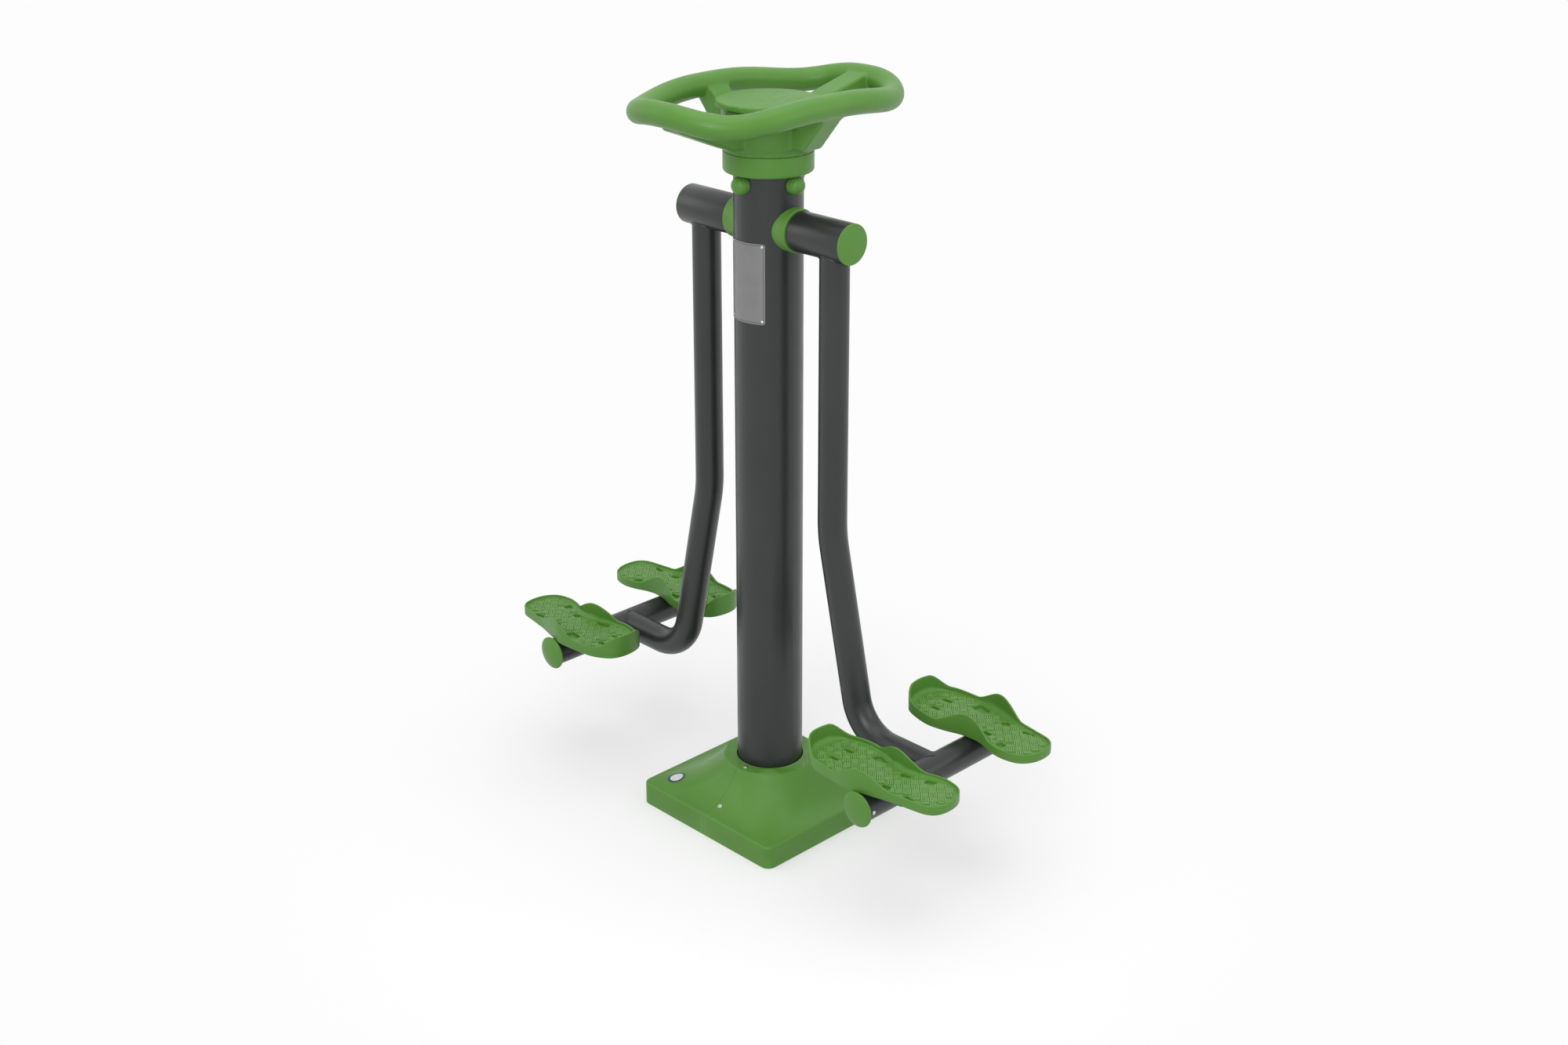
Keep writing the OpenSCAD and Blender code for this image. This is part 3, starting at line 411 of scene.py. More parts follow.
# %% Helpers that shape a mesh
SAME_PLACE = 0.001 * MM
X_AXIS, Y_AXIS, Z_AXIS = Vector((1, 0, 0)), Vector((0, 1, 0)), Vector((0, 0, 1))


def full_turn(steps):
    """Angles of equal steps round a circle."""
    return [2 * math.pi * i / steps for i in range(steps)]


def arc(middle, radius, start, end, steps):
    """Points on a circle, in degrees from the first axis to the second."""
    turns = [math.radians(start + (end - start) * i / steps) for i in range(steps + 1)]
    return [(middle[0] + radius * math.cos(t), middle[1] + radius * math.sin(t)) for t in turns]


def low_corner(radius, height, edge, steps=3):
    """Rounded corner of a profile, from its underside up into its side."""
    return arc((radius - edge, height + edge), edge, -90, 0, steps)


def top_corner(radius, height, edge, steps=3, end=90):
    """Rounded corner of a profile, from its side in to its top."""
    return arc((radius - edge, height - edge), edge, 0, end, steps)


def ring_round(middle, radius, first, second, sides):
    """Circle of points in the plane of two directions."""
    return [middle + radius * (math.cos(t) * first + math.sin(t) * second)
            for t in full_turn(sides)]


def sides_of(ring):
    """Each point of a closed ring with the next one."""
    return zip(ring, ring[1:] + ring[:1])


def loft(bm, rings, caps=(True, True), ring_of_rings=False):
    """Skins closed rings that all have the same number of points."""
    rows = [[bm.verts.new(point) for point in ring] for ring in rings]
    pairs = list(zip(rows, rows[1:]))
    if ring_of_rings:
        pairs.append((rows[-1], rows[0]))
    for near, far in pairs:
        for i, vert in enumerate(near):
            j = (i + 1) % len(near)
            bm.faces.new((vert, near[j], far[j], far[i]))
    if caps[0] and not ring_of_rings:
        bm.faces.new(rows[0][::-1])
    if caps[1] and not ring_of_rings:
        bm.faces.new(rows[-1])
    return rows


def revolve(profile, axis=Z_AXIS, through=(0.0, 0.0, 0.0), steps=96):
    """Turns a profile of (radius, height) points a full turn about an axis through a point."""
    bm = bmesh.new()
    middle, out = Vector(through), Z_AXIS if axis == X_AXIS else X_AXIS
    verts = [bm.verts.new(middle + r * out + h * axis) for r, h in profile]
    edges = [bm.edges.new(pair) for pair in zip(verts, verts[1:])]
    bmesh.ops.spin(bm, geom=verts + edges, cent=middle, axis=axis, angle=2 * math.pi, steps=steps,
                   use_merge=True)
    bmesh.ops.remove_doubles(bm, verts=bm.verts, dist=SAME_PLACE)
    return bm


def smooth_ring(points, steps):
    """Closed smooth curve through a ring of points."""
    count = len(points)
    curve = []
    for i in range(count):
        before, here, after, later = (Vector(points[(i + k) % count]) for k in (-1, 0, 1, 2))
        for j in range(steps):
            t = j / steps
            curve.append(0.5 * (2 * here + (after - before) * t
                                + (2 * before - 5 * here + 4 * after - later) * t ** 2
                                + (3 * here - before - 3 * after + later) * t ** 3))
    return curve


def inset(ring, depths):
    """Ring of flat points, each drawn in by its depth; it runs clockwise seen from above."""
    drawn = []
    for i, (point, depth) in enumerate(zip(ring, depths)):
        along = (ring[(i + 1) % len(ring)] - ring[i - 1]).normalized()
        drawn.append(point + depth * Vector((along.y, -along.x)))
    return drawn


def rounded(corners, radius, steps=5):
    """Polygon whose corners are drawn as smooth bends."""
    points = []
    for i, corner in enumerate(corners):
        before = (corners[i - 1] - corner).normalized() * radius
        after = (corners[(i + 1) % len(corners)] - corner).normalized() * radius
        for j in range(steps + 1):
            t = j / steps
            points.append(corner + before * (1 - t) ** 2 + after * t ** 2)
    return points


def flat_box(x0, x1, y0, y1):
    return [Vector(corner) for corner in ((x0, y0), (x1, y0), (x1, y1), (x0, y1))]


def raised(ring, height):
    return [Vector((point.x, point.y, height)) for point in ring]


def fused(bm, voxel, rounds):
    """Joins shells that overlap into one skin and rounds its corners."""
    mesh = bpy.data.meshes.new("shells")
    bm.to_mesh(mesh)
    bm.free()
    thing = bpy.data.objects.new("shells", mesh)
    scene.collection.objects.link(thing)
    remesh = thing.modifiers.new("remesh", "REMESH")
    remesh.mode = "VOXEL"
    remesh.voxel_size = voxel
    graph = bpy.context.evaluated_depsgraph_get()
    skin = bpy.data.meshes.new_from_object(thing.evaluated_get(graph))
    bpy.data.objects.remove(thing)
    bpy.data.meshes.remove(mesh)
    joined = bmesh.new()
    joined.from_mesh(skin)
    bpy.data.meshes.remove(skin)
    for _ in range(rounds):
        bmesh.ops.smooth_vert(joined, verts=joined.verts, factor=0.5, use_axis_x=True,
                              use_axis_y=True, use_axis_z=True)
    return joined


def stamp(bm, pattern, matrix):
    """Adds a moved copy of a small mesh to a larger one."""
    mesh = bpy.data.meshes.new("stamp")
    pattern.to_mesh(mesh)
    mesh.transform(matrix)
    bm.from_mesh(mesh)
    bpy.data.meshes.remove(mesh)


def soften(bm, width, segments=2, angle=35):
    """Rounds every edge that is sharper than an angle."""
    sharp = [edge for edge in bm.edges if len(edge.link_faces) == 2
             and edge.calc_face_angle(0.0) > math.radians(angle)]
    bmesh.ops.bevel(bm, geom=sharp, offset=width, segments=segments, profile=0.5, affect="EDGES",
                    material=-1, clamp_overlap=True)


# %% Helpers that put a piece in the scene
ROOT, LEGS = "root", {"right": "right_leg", "left": "left_leg"}
SIDES = {"right": 1.0, "left": -1.0}


def add_piece(name, bm, body, slot, *replaced, finish=None, sharp=32):
    """Puts a finished mesh in the scene, tied to a body, a finish and the parts it stands for."""
    bmesh.ops.recalc_face_normals(bm, faces=bm.faces)
    mesh = bpy.data.meshes.new(name)
    bm.to_mesh(mesh)
    bm.free()
    mesh.materials.append(finish or FINISH[slot])
    mesh.shade_smooth()
    mesh.set_sharp_from_angle(angle=math.radians(sharp))
    piece = bpy.data.objects.new(name, mesh)
    scene.collection.objects.link(piece)
    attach(piece, body)
    if replaced:
        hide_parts(*replaced)
    print(name, len(mesh.polygons), "faces")


def mirrored(x=1.0, y=1.0):
    return Matrix.Diagonal((x, y, 1.0, 1.0))


def add_to_side(side, name, bm, slot, *replaced, body=None, sharp=32):
    """Adds a piece that was made for the +X side. It rides on its leg if no body is named."""
    bmesh.ops.transform(bm, matrix=mirrored(x=SIDES[side]), verts=bm.verts)
    nodes = [side + node for node in replaced]
    add_piece(side + name, bm, body or LEGS[side], slot, *nodes, sharp=sharp)


def add_to_legs(name, pattern, slot, replaced):
    """Adds a pattern and its mirror image across Y to each leg."""
    for side in SIDES:
        bm = bmesh.new()
        for end in (1.0, -1.0):
            stamp(bm, pattern, mirrored(y=end))
        add_to_side(side, name, bm, slot, replaced)
    pattern.free()


# %% [markdown]
# ## Handwheel
# A machine of this kind has its handwheel moulded in one piece of tough plastic. The rim is a round
# tube that follows a rounded oblong in plan, and it rises a little at each of the four arms. The
# arms are flat ribs that widen from the hub, so a hand can't slip under them, and below them the
# hub steps in to the width of its collar. All of these are closed shells that overlap, and the
# fuse makes one skin of them with a small fillet at each joint.

# %% Model the handwheel
RIM_R = 24.5 * MM
RIM_WAVE = 8 * MM
RIM_SQUARE = 2.65
RIM_X = high("handwheel").x - RIM_R
RIM_Y = high("handwheel").y - RIM_R
RIM_CREST = high("handwheel").z - RIM_R
HUB_R = size("hub_collar").x / 2
NECK_R = HUB_R - 2 * MM
HUB_BOTTOM = low("handwheel").z + 2 * MM
HUB_TOP = low("hub_lid").z + 10 * MM
HUB_WALL = 8.5 * MM
HUB_FLOOR = 9 * MM
HUB_SWELL = 1 * MM
HUB_STEP_H = 4 * MM
ARM_W = 54 * MM
ARM_FOOT = HUB_BOTTOM + 16 * MM
VOXEL = 2.5 * MM
SMOOTH_ROUNDS = 6
# Side view of an arm: share of the way out and radii of the rim, share of the rise and radii.
# The height of its root on the hub is a share of the rise too.
SHORT_ARM = [(0.37, 0, 0, 0), (1, 0.55, 1, -0.8), (1, 0, 1, 0), (1, -1, 1, 0.05),
             (0.15, 0, 0.565, 0)]
LONG_ARM = [(0.11, 0, 0, 0), (1, -0.9, 1, -1.5), (1, 0, 1, 0), (1, -0.5, 1, 0.6)]
SHORT_ROOT, LONG_ROOT = 0.357, 0.656


def rim_point(turn):
    c, s = math.cos(turn), math.sin(turn)
    bend = 2 / RIM_SQUARE
    return Vector((RIM_X * math.copysign(abs(c) ** bend, c),
                   RIM_Y * math.copysign(abs(s) ** bend, s),
                   RIM_CREST - RIM_WAVE + RIM_WAVE * math.cos(4 * turn)))


def rim_rings(rings=240, sides=40):
    step = math.pi / rings
    for turn in full_turn(rings):
        along = (rim_point(turn + step) - rim_point(turn - step)).normalized()
        out = along.cross(Z_AXIS).normalized()
        yield ring_round(rim_point(turn), RIM_R, out, out.cross(along), sides)


def arm_shell(bm, reach, shares, root, turn):
    """Closed flat rib from inside the hub's wall to the rim, turned to its place."""
    gap, rise, start = reach - HUB_R, RIM_CREST - ARM_FOOT, HUB_R - HUB_WALL / 2
    side_view = [(start, ARM_FOOT)]
    side_view += [(HUB_R + gap * a + RIM_R * b, ARM_FOOT + rise * c + RIM_R * d)
                  for a, b, c, d in shares]
    side_view += [(start, ARM_FOOT + rise * root)]
    turned = Matrix.Rotation(turn, 3, "Z")
    loft(bm, [[turned @ Vector((x, y, z)) for x, z in side_view] for y in (-ARM_W / 2, ARM_W / 2)])


bm = revolve([(0, HUB_BOTTOM), (NECK_R, HUB_BOTTOM), (NECK_R, ARM_FOOT - HUB_STEP_H),
              (HUB_R + HUB_SWELL, ARM_FOOT), (HUB_R, HUB_TOP), (HUB_R - HUB_WALL, HUB_TOP),
              (HUB_R - HUB_WALL, HUB_BOTTOM + HUB_FLOOR), (0, HUB_BOTTOM + HUB_FLOOR)])
loft(bm, list(rim_rings()), ring_of_rings=True)
for quarter in range(4):
    arm = (RIM_Y, LONG_ARM, LONG_ROOT) if quarter % 2 else (RIM_X, SHORT_ARM, SHORT_ROOT)
    arm_shell(bm, *arm, quarter * math.pi / 2)
bmesh.ops.recalc_face_normals(bm, faces=bm.faces)
add_piece("handwheel_moulding", fused(bm, VOXEL, SMOOTH_ROUNDS), ROOT, "green_plastic",
          "handwheel", sharp=180)

# %% [markdown]
# ## Lid and collar of the hub
# The lid snaps into the hub and hides its bolts. Its face has a coarse pebble grain, which hides
# scratches, and its edge is rounded. The collar covers the joint between the hub and the post.

# %% Model the lid and the collar
LID_R = size("hub_lid").x / 2 + 2 * MM
LID_TOP = high("hub_lid").z + 2 * MM
LID_T = 12 * MM
LID_EDGE = 4 * MM
LID_FOOT_EDGE = 2 * MM
LID_PLUG = 4 * MM
LID_BOTTOM = LID_TOP - LID_T
PUSH_FIT = 0.3 * MM
plug_r = HUB_R - HUB_WALL - PUSH_FIT
plug_in, plug_foot = plug_r - LID_PLUG, low("hub_lid").z

profile = [(0, LID_BOTTOM), (plug_in, LID_BOTTOM), (plug_in, plug_foot), (plug_r, plug_foot),
           (plug_r, LID_BOTTOM)]
profile += low_corner(LID_R, LID_BOTTOM, LID_FOOT_EDGE) + top_corner(LID_R, LID_TOP, LID_EDGE, 6)
bm = revolve(profile + [(0, LID_TOP)], steps=128)
add_piece("hub_lid_moulding", bm, ROOT, "green_plastic", "hub_lid", finish=PEBBLED)

COLLAR_EDGE = 6 * MM
COLLAR_GROOVE = 0.5 * MM
COLLAR_LOW = low("hub_collar").z + 4.5 * MM
COLLAR_HIGH = HUB_BOTTOM + 0.8 * MM
COLLAR_IN = NECK_R - 8 * MM
COLLAR_SHELF = POST_TOP - 1 * MM
bore = POST_R + PUSH_FIT
profile = [(bore, COLLAR_SHELF), (bore, COLLAR_LOW)]
profile += low_corner(NECK_R, COLLAR_LOW, COLLAR_EDGE, 8)
profile += top_corner(NECK_R, COLLAR_HIGH, COLLAR_GROOVE)
profile += [(COLLAR_IN, COLLAR_HIGH), (COLLAR_IN, COLLAR_SHELF), (bore, COLLAR_SHELF)]
add_piece("hub_collar_moulding", revolve(profile, steps=128), ROOT, "green_plastic", "hub_collar")

# %% [markdown]
# ## Caps over the radial bolts
# Four bolts through the post hold the handwheel. Each has a push-on plastic cap: a skirt against
# the post, and a dome over the bolt's head that is a little narrower.

# %% Model the bolt caps
CAP_Z = centre("wheel_bolt_caps").z + 5 * MM
CAP_R = 18 * MM
CAP_FACE = POST_R - 2.5 * MM
CAP_SKIRT_END = POST_R + 11 * MM
CAP_EDGE = 1 * MM
CAP_DOME_R = 17.2 * MM
CAP_DOME_H = 13 * MM

profile = [(0, CAP_FACE), (CAP_R, CAP_FACE)]
profile += top_corner(CAP_R, CAP_SKIRT_END, CAP_EDGE, end=80)
profile += [(CAP_DOME_R * r, CAP_SKIRT_END + CAP_DOME_H * h) for r, h in arc((0, 0), 1, 0, 90, 12)]
cap = revolve(profile, steps=48)
bm = bmesh.new()
for turn in range(4):
    sideways = Matrix.Rotation(turn * math.pi / 2, 4, "Z") @ Matrix.Rotation(math.pi / 2, 4, "Y")
    stamp(bm, cap, Matrix.Translation((0, 0, CAP_Z)) @ sideways)
cap.free()
add_piece("bolt_cap_domes", bm, ROOT, "green_plastic", "wheel_bolt_caps")

# %% [markdown]
# ## Swing bearings
# A housing is a length of tube with the bearings pressed in. Its outer end has a green push-in
# cap, and a green ring fills the gap between the housing and the post, so no finger gets in.

# %% Model rings, housings and end caps
RING_R = size("right_pivot_ring").z / 2
RING_END = high("right_pivot_ring").x
RING_BORE = 30.1 * MM
HOUSING_R = size("right_pivot_housing").z / 2
HOUSING_START = low("right_pivot_housing").x
HOUSING_END = high("right_pivot_housing").x
HOUSING_WALL = 5 * MM
HOUSING_EDGE = 1.2 * MM
RING_EDGE = 2 * MM
END_CAP_END = high("right_end_cap").x
END_CAP_BACK = low("right_end_cap").x
END_CAP_WALL = 3 * MM
END_CAP_EDGE = 1.5 * MM
HAIR = 0.05 * MM


def ring_about_x(x, radius, steps=96):
    return ring_round(Vector((x, 0, PIVOT_Z)), radius, Y_AXIS, Z_AXIS, steps)


def on_post(ring):
    """The ring's points moved along X to just off the round post."""
    return [Vector((math.sqrt((POST_R + 2 * HAIR) ** 2 - p.y ** 2), p.y, p.z)) for p in ring]


for side in SIDES:
    bm = bmesh.new()
    outer = [ring_about_x(h, r) for r, h in top_corner(RING_R, RING_END, RING_EDGE, 4)]
    mouth = ring_about_x(RING_END, RING_BORE)
    loft(bm, [on_post(outer[0])] + outer + [mouth, on_post(mouth)], ring_of_rings=True)
    add_to_side(side, "_ring_moulding", bm, "green_plastic", "_pivot_ring", body=ROOT)

    inner = HOUSING_R - HOUSING_WALL
    profile = low_corner(HOUSING_R, HOUSING_START, HOUSING_EDGE)
    profile += top_corner(HOUSING_R, HOUSING_END, HOUSING_EDGE)
    profile += [(inner, HOUSING_END), (inner, HOUSING_START)]
    bm = revolve(profile + profile[:1], X_AXIS, (0, 0, PIVOT_Z))
    add_to_side(side, "_housing_tube", bm, "dark_paint", "_pivot_housing")

    plug = inner - PUSH_FIT
    hollow = plug - END_CAP_WALL
    profile = [(0, HOUSING_END), (hollow, HOUSING_END), (hollow, END_CAP_BACK),
               (plug, END_CAP_BACK), (plug, HOUSING_END + HAIR), (HOUSING_R, HOUSING_END + HAIR)]
    profile += top_corner(HOUSING_R, END_CAP_END, END_CAP_EDGE, 4) + [(0, END_CAP_END)]
    bm = revolve(profile, X_AXIS, (0, 0, PIVOT_Z))
    add_to_side(side, "_end_cap_moulding", bm, "green_plastic", "_end_cap")

# %% [markdown]
# ## Leg tubes
# A leg is one bent tube: upright under the bearing, then a slight bend outwards, and a tight bend
# at the foot that leads it under the trays. Its ends are cut to the shape of the tubes they meet
# and welded all round. The path is the same chain of straights and arcs as in the frame's tube.

# %% Model the legs
LEG_X = low("right_leg_tube").x + LEG_R
KINK_Z = TREAD_Z + 422 * MM
KINK_R = 300 * MM
BEND_R = 98 * MM
LEAN = math.radians(12)
KINK_STEPS = 8
BEND_STEPS = 24
LEG_SIDES = 64


def leg_ring(x, z, turn):
    """Ring round the path at a place, where it has turned by an angle from straight down."""
    across = Vector((math.cos(turn), 0, math.sin(turn)))
    return ring_round(Vector((x, 0, z)), LEG_R, Y_AXIS, across, LEG_SIDES)


def bend_rings(x, z, radius, start, end, steps):
    """Rings along a bend about a middle."""
    for i in range(steps + 1):
        turn = start + (end - start) * i / steps
        yield leg_ring(x - radius * math.cos(turn), z - radius * math.sin(turn), turn)


def leg_rings():
    kink_z = KINK_Z + KINK_R * math.tan(LEAN / 2)
    corner_x = LEG_X + (KINK_Z - TREAD_Z) * math.tan(LEAN)
    bend_x = corner_x + BEND_R * math.tan((math.pi / 2 - LEAN) / 2)
    yield leg_ring(LEG_X, PIVOT_Z, 0)
    yield from bend_rings(LEG_X + KINK_R, kink_z, KINK_R, 0, LEAN, KINK_STEPS)
    yield from bend_rings(bend_x, TREAD_Z + BEND_R, BEND_R, LEAN, math.pi / 2, BEND_STEPS)
    yield leg_ring(TREAD_X, TREAD_Z, math.pi / 2)


# %% Weld beads
WELD_R = 2.0 * MM
RIPPLE = 0.10
RIPPLE_SCALE = 160


def bead(bm, points, sides=10):
    """Closed weld bead along a ring of points, with the small ripples that a hand leaves."""
    middle = sum(points, Vector()) / len(points)
    rings = []
    for i, point in enumerate(points):
        along = (points[(i + 1) % len(points)] - points[i - 1]).normalized()
        out = (point - middle).normalized()
        out = (out - along * out.dot(along)).normalized()
        swell = WELD_R * (1 + RIPPLE * noise.noise(point * RIPPLE_SCALE))
        rings.append(ring_round(point, swell, out, along.cross(out), sides))
    loft(bm, rings, ring_of_rings=True)


# %% Put the legs in the scene
for side in SIDES:
    rings = list(leg_rings())
    for p in rings[0]:
        p.z = PIVOT_Z - math.sqrt(HOUSING_R ** 2 - p.y ** 2) + HAIR
    for p in rings[-1]:
        p.x = TREAD_X - math.sqrt(max(LEG_R ** 2 - (p.z - TREAD_Z) ** 2, 0)) + HAIR
    bm = bmesh.new()
    loft(bm, rings)
    add_to_side(side, "_leg_bar", bm, "dark_paint", "_leg_tube", sharp=50)
    bm = bmesh.new()
    bead(bm, rings[0])
    bead(bm, rings[-1])
    add_to_side(side, "_weld_beads", bm, "dark_paint")

# %% [markdown]
# ## Mushroom caps
# Each end of a tread tube has a push-in cap with a low dome, wider than the tube, and a screw
# through the tube holds it.

# %% Model the mushroom caps
CAP_TUBE_END = high("right_tread_tube").y
CAP_CROWN = high("right_tube_caps").y
BRIM_R = size("right_tube_caps").z / 2
BRIM_T = 3 * MM
BRIM_EDGE = 1 * MM
dome_h = CAP_CROWN - CAP_TUBE_END - BRIM_T
dome_r = (BRIM_R ** 2 + dome_h ** 2) / (2 * dome_h)
half_turn = math.degrees(math.asin((BRIM_R - BRIM_EDGE) / dome_r))
profile = [(0, CAP_TUBE_END)] + low_corner(BRIM_R, CAP_TUBE_END, BRIM_EDGE)
profile += top_corner(BRIM_R, CAP_TUBE_END + BRIM_T, BRIM_EDGE, end=60)
profile += arc((0, CAP_CROWN - dome_r), dome_r, 90 - half_turn, 90, 12)[1:]
cap = revolve(profile, Y_AXIS, (TREAD_X, 0, TREAD_Z))
add_to_legs("_mushroom_caps", cap, "green_plastic", "_tube_caps")

# %% [markdown]
# ## Foot trays
# A tray is moulded in one piece. Its rim is low at the ball and the heel, where a foot steps in,
# and rises to a wall at the toe and to a flange on each side of the arch. The floor has drain
# pockets and a basket-weave tread: small squares of four short ribs, turned from one square to
# the next, so the sole grips both ways. The wall is a loft of rings from the underside of the
# floor, round the foot and over the lip, and the floor is filled between it and the pockets.

# %% Model the foot trays
TOE_X = low("right_far_tray").x
TRAY_LEN = size("right_far_tray").x
TRAY_W = 142 * MM
TRAY_Y = 151 * MM
TRAY_BOTTOM = low("right_far_tray").z
FLOOR_Z = TRAY_BOTTOM + 12.7 * MM
RIM_Z = FLOOR_Z + 6.5 * MM
FLANGE_H = high("right_far_tray").z - RIM_Z
TRAY_WALL = 4 * MM
SLAB_T = 7 * MM
POCKET_DEPTH = 6.2 * MM
POCKET_LAND = 2 * MM
POCKET_ROUND = 3.5 * MM
POCKET_EDGE = 0.7 * MM
POCKET_DRAFT = 0.5 * MM
INSIDE_CAD = 0.15 * MM
# Shares of the length from the toe and of the width from the middle, all round the sole.
OUTLINE = [
    (0.000, 0.00), (0.015, 0.19), (0.058, 0.32), (0.155, 0.44), (0.300, 0.485), (0.433, 0.50),
    (0.561, 0.43), (0.698, 0.345), (0.823, 0.295), (0.927, 0.245), (0.983, 0.13), (1.000, -0.07),
    (0.983, -0.28), (0.927, -0.44), (0.828, -0.50), (0.735, -0.47), (0.648, -0.395),
    (0.570, -0.36), (0.474, -0.385), (0.372, -0.46), (0.267, -0.50), (0.166, -0.465),
    (0.064, -0.375), (0.017, -0.235)]
TOE_FLAT = 25 * MM
TOE_REACH = 73 * MM
BALL_RISE = 6 * MM
FLANGE_SPAN = (0.314, 0.503, 0.698)
FLANGE_POWER = 1.4
LOW_COVE = 4.2 * MM
HIGH_COVE = 12 * MM
POCKETS = [
    [(0.334, -0.25), (0.350, -0.375), (0.455, -0.30), (0.380, -0.235)],
    [(0.343, 0.23), (0.448, 0.20), (0.462, 0.33), (0.360, 0.40)],
    [(0.578, -0.26), (0.640, -0.27), (0.648, -0.17), (0.585, -0.16)],
    [(0.584, 0.16), (0.640, 0.14), (0.650, 0.24), (0.600, 0.27)],
    [(0.724, -0.36), (0.788, -0.40), (0.786, -0.27), (0.735, -0.25)],
    [(0.744, 0.215), (0.765, 0.155), (0.840, 0.21), (0.817, 0.24)]]
OVALS = [(0.189, -0.155), (0.183, 0.134)]
OVAL_HALF = (0.038, 0.0145)


def tray_point(share):
    return Vector((TOE_X + share[0] * TRAY_LEN, TRAY_Y + share[1] * TRAY_W))


def rise_share(point):
    """0 on the low rim and 1 on the crest of the toe wall or of a flange."""
    from_toe = (point - tray_point(OUTLINE[0])).length
    if from_toe < TOE_REACH:
        fall = max(0.0, from_toe - TOE_FLAT) / (TOE_REACH - TOE_FLAT)
        return (1 + math.cos(math.pi * fall)) / 2
    start, peak, end = FLANGE_SPAN
    s = (point.x - TOE_X) / TRAY_LEN
    if start < s < peak:
        return math.sin(math.pi / 2 * (s - start) / (peak - start)) ** FLANGE_POWER
    if peak <= s < end:
        return math.cos(math.pi / 2 * (s - peak) / (end - peak)) ** FLANGE_POWER
    return 0.0


def rim_height(point):
    """Height of the lip: the low rim falls from the ball to the heel, and walls rise from it."""
    low_rim = RIM_Z + BALL_RISE * max(0.0, 1 - 2 * (point.x - TOE_X) / TRAY_LEN)
    return low_rim + (RIM_Z + FLANGE_H - low_rim) * rise_share(point)


def oval(share):
    middle = tray_point(share)
    half, radius = (TRAY_LEN * value for value in OVAL_HALF)
    right = arc((half - radius, 0), radius, -90, 90, 8)
    left = arc((radius - half, 0), radius, 90, 270, 8)
    return [middle + Vector(p) for p in right + left]


def grown(ring, depth):
    """A small pocket's ring drawn out from its middle."""
    middle = sum(ring, Vector((0, 0))) / len(ring)
    return [p + (p - middle).normalized() * depth for p in ring]


def cove_at(point):
    """Radius between wall and floor: wide under the high walls, and clear of every pocket."""
    wanted = LOW_COVE + (HIGH_COVE - LOW_COVE) * rise_share(point)
    room = min((point - corner).length for ring in pocket_rings for corner in ring)
    return min(wanted, room - TRAY_WALL - POCKET_LAND)


pocket_rings = [rounded([tray_point(s) for s in pocket], POCKET_ROUND) for pocket in POCKETS]
pocket_rings += [oval(share) for share in OVALS]
outline = smooth_ring([tray_point(s) for s in OUTLINE], 10)
outline = inset(outline, [INSIDE_CAD] * len(outline))
coves = [cove_at(point) for point in outline]
floor_ring = inset(outline, [TRAY_WALL + cove for cove in coves])
print("tray outline", len(outline), "points,", len(pocket_rings), "pockets")

# %% Tray body
FOOT_R = 1 * MM
LIP_R = TRAY_WALL / 2
SLAB_EDGE = 0.5 * MM
COVE_STEPS = 8


def drawn_in(depth):
    return inset(outline, [depth] * len(outline))


def tray_rings():
    """Rings of the tray's skin, from the underside of the wall over the lip to the floor."""
    yield raised(drawn_in(TRAY_WALL + SLAB_EDGE), FLOOR_Z - SLAB_T)
    yield raised(drawn_in(TRAY_WALL), FLOOR_Z - SLAB_T - SLAB_EDGE)
    yield raised(drawn_in(TRAY_WALL), TRAY_BOTTOM + FOOT_R)
    foot = arc((TRAY_WALL - FOOT_R, TRAY_BOTTOM + FOOT_R), FOOT_R, 0, -90, 3)[1:]
    foot += arc((FOOT_R, TRAY_BOTTOM + FOOT_R), FOOT_R, -90, -180, 3)
    for r, h in foot:
        yield raised(drawn_in(r), h)
    for r, h in arc((LIP_R, 0), LIP_R, 180, 0, 8):
        yield [Vector((p.x, p.y, rim_height(q) - LIP_R + h)) for p, q in zip(drawn_in(r), outline)]
    for step in range(COVE_STEPS + 1):
        turn = math.pi / 2 * step / COVE_STEPS
        ring = inset(outline, [TRAY_WALL + cove * (1 - math.cos(turn)) for cove in coves])
        yield [Vector((p.x, p.y, FLOOR_Z + cove * (1 - math.sin(turn))))
               for p, cove in zip(ring, coves)]


def tray_body(bm):
    rows = loft(bm, list(tray_rings()), caps=(True, False))
    rim_edges = [bm.edges.get(pair) for pair in sides_of(rows[-1])]
    for ring in pocket_rings:
        levels = [raised(grown(ring, POCKET_EDGE), FLOOR_Z), raised(ring, FLOOR_Z - POCKET_EDGE),
                  raised(grown(ring, -POCKET_DRAFT), FLOOR_Z - POCKET_DEPTH)]
        mouth = loft(bm, levels, caps=(False, True))[0]
        rim_edges += [bm.edges.get(pair) for pair in sides_of(mouth)]
    bmesh.ops.triangle_fill(bm, edges=rim_edges, use_beauty=True, normal=(0, 0, 1))


# %% Tread ribs
CELL = 16.2 * MM
RIBS_IN_CELL = 4
RIB_PITCH = 4 * MM
RIB_LEN = 15.4 * MM
RIB_BASE = 3.1 * MM
RIB_TOP = 2.3 * MM
RIB_H = 2.2 * MM
RIB_ROOT = 0.4 * MM
RIB_SLANT = 0.3 * MM
CELLS_EACH_WAY = 15
CLEAR_OF_EDGE = 2 * MM
CLEAR_OF_POCKET = 3.5 * MM


def crossings(ring, x):
    """Y of each place where a line across the tray meets a ring."""
    return [a.y + (b.y - a.y) * (x - a.x) / (b.x - a.x) for a, b in sides_of(ring)
            if (a.x > x) != (b.x > x)]


def inside(point, ring):
    """Whether a flat point is within a ring: an odd number of crossings is beyond it."""
    return sum(y > point.y for y in crossings(ring, point.x)) % 2 == 1


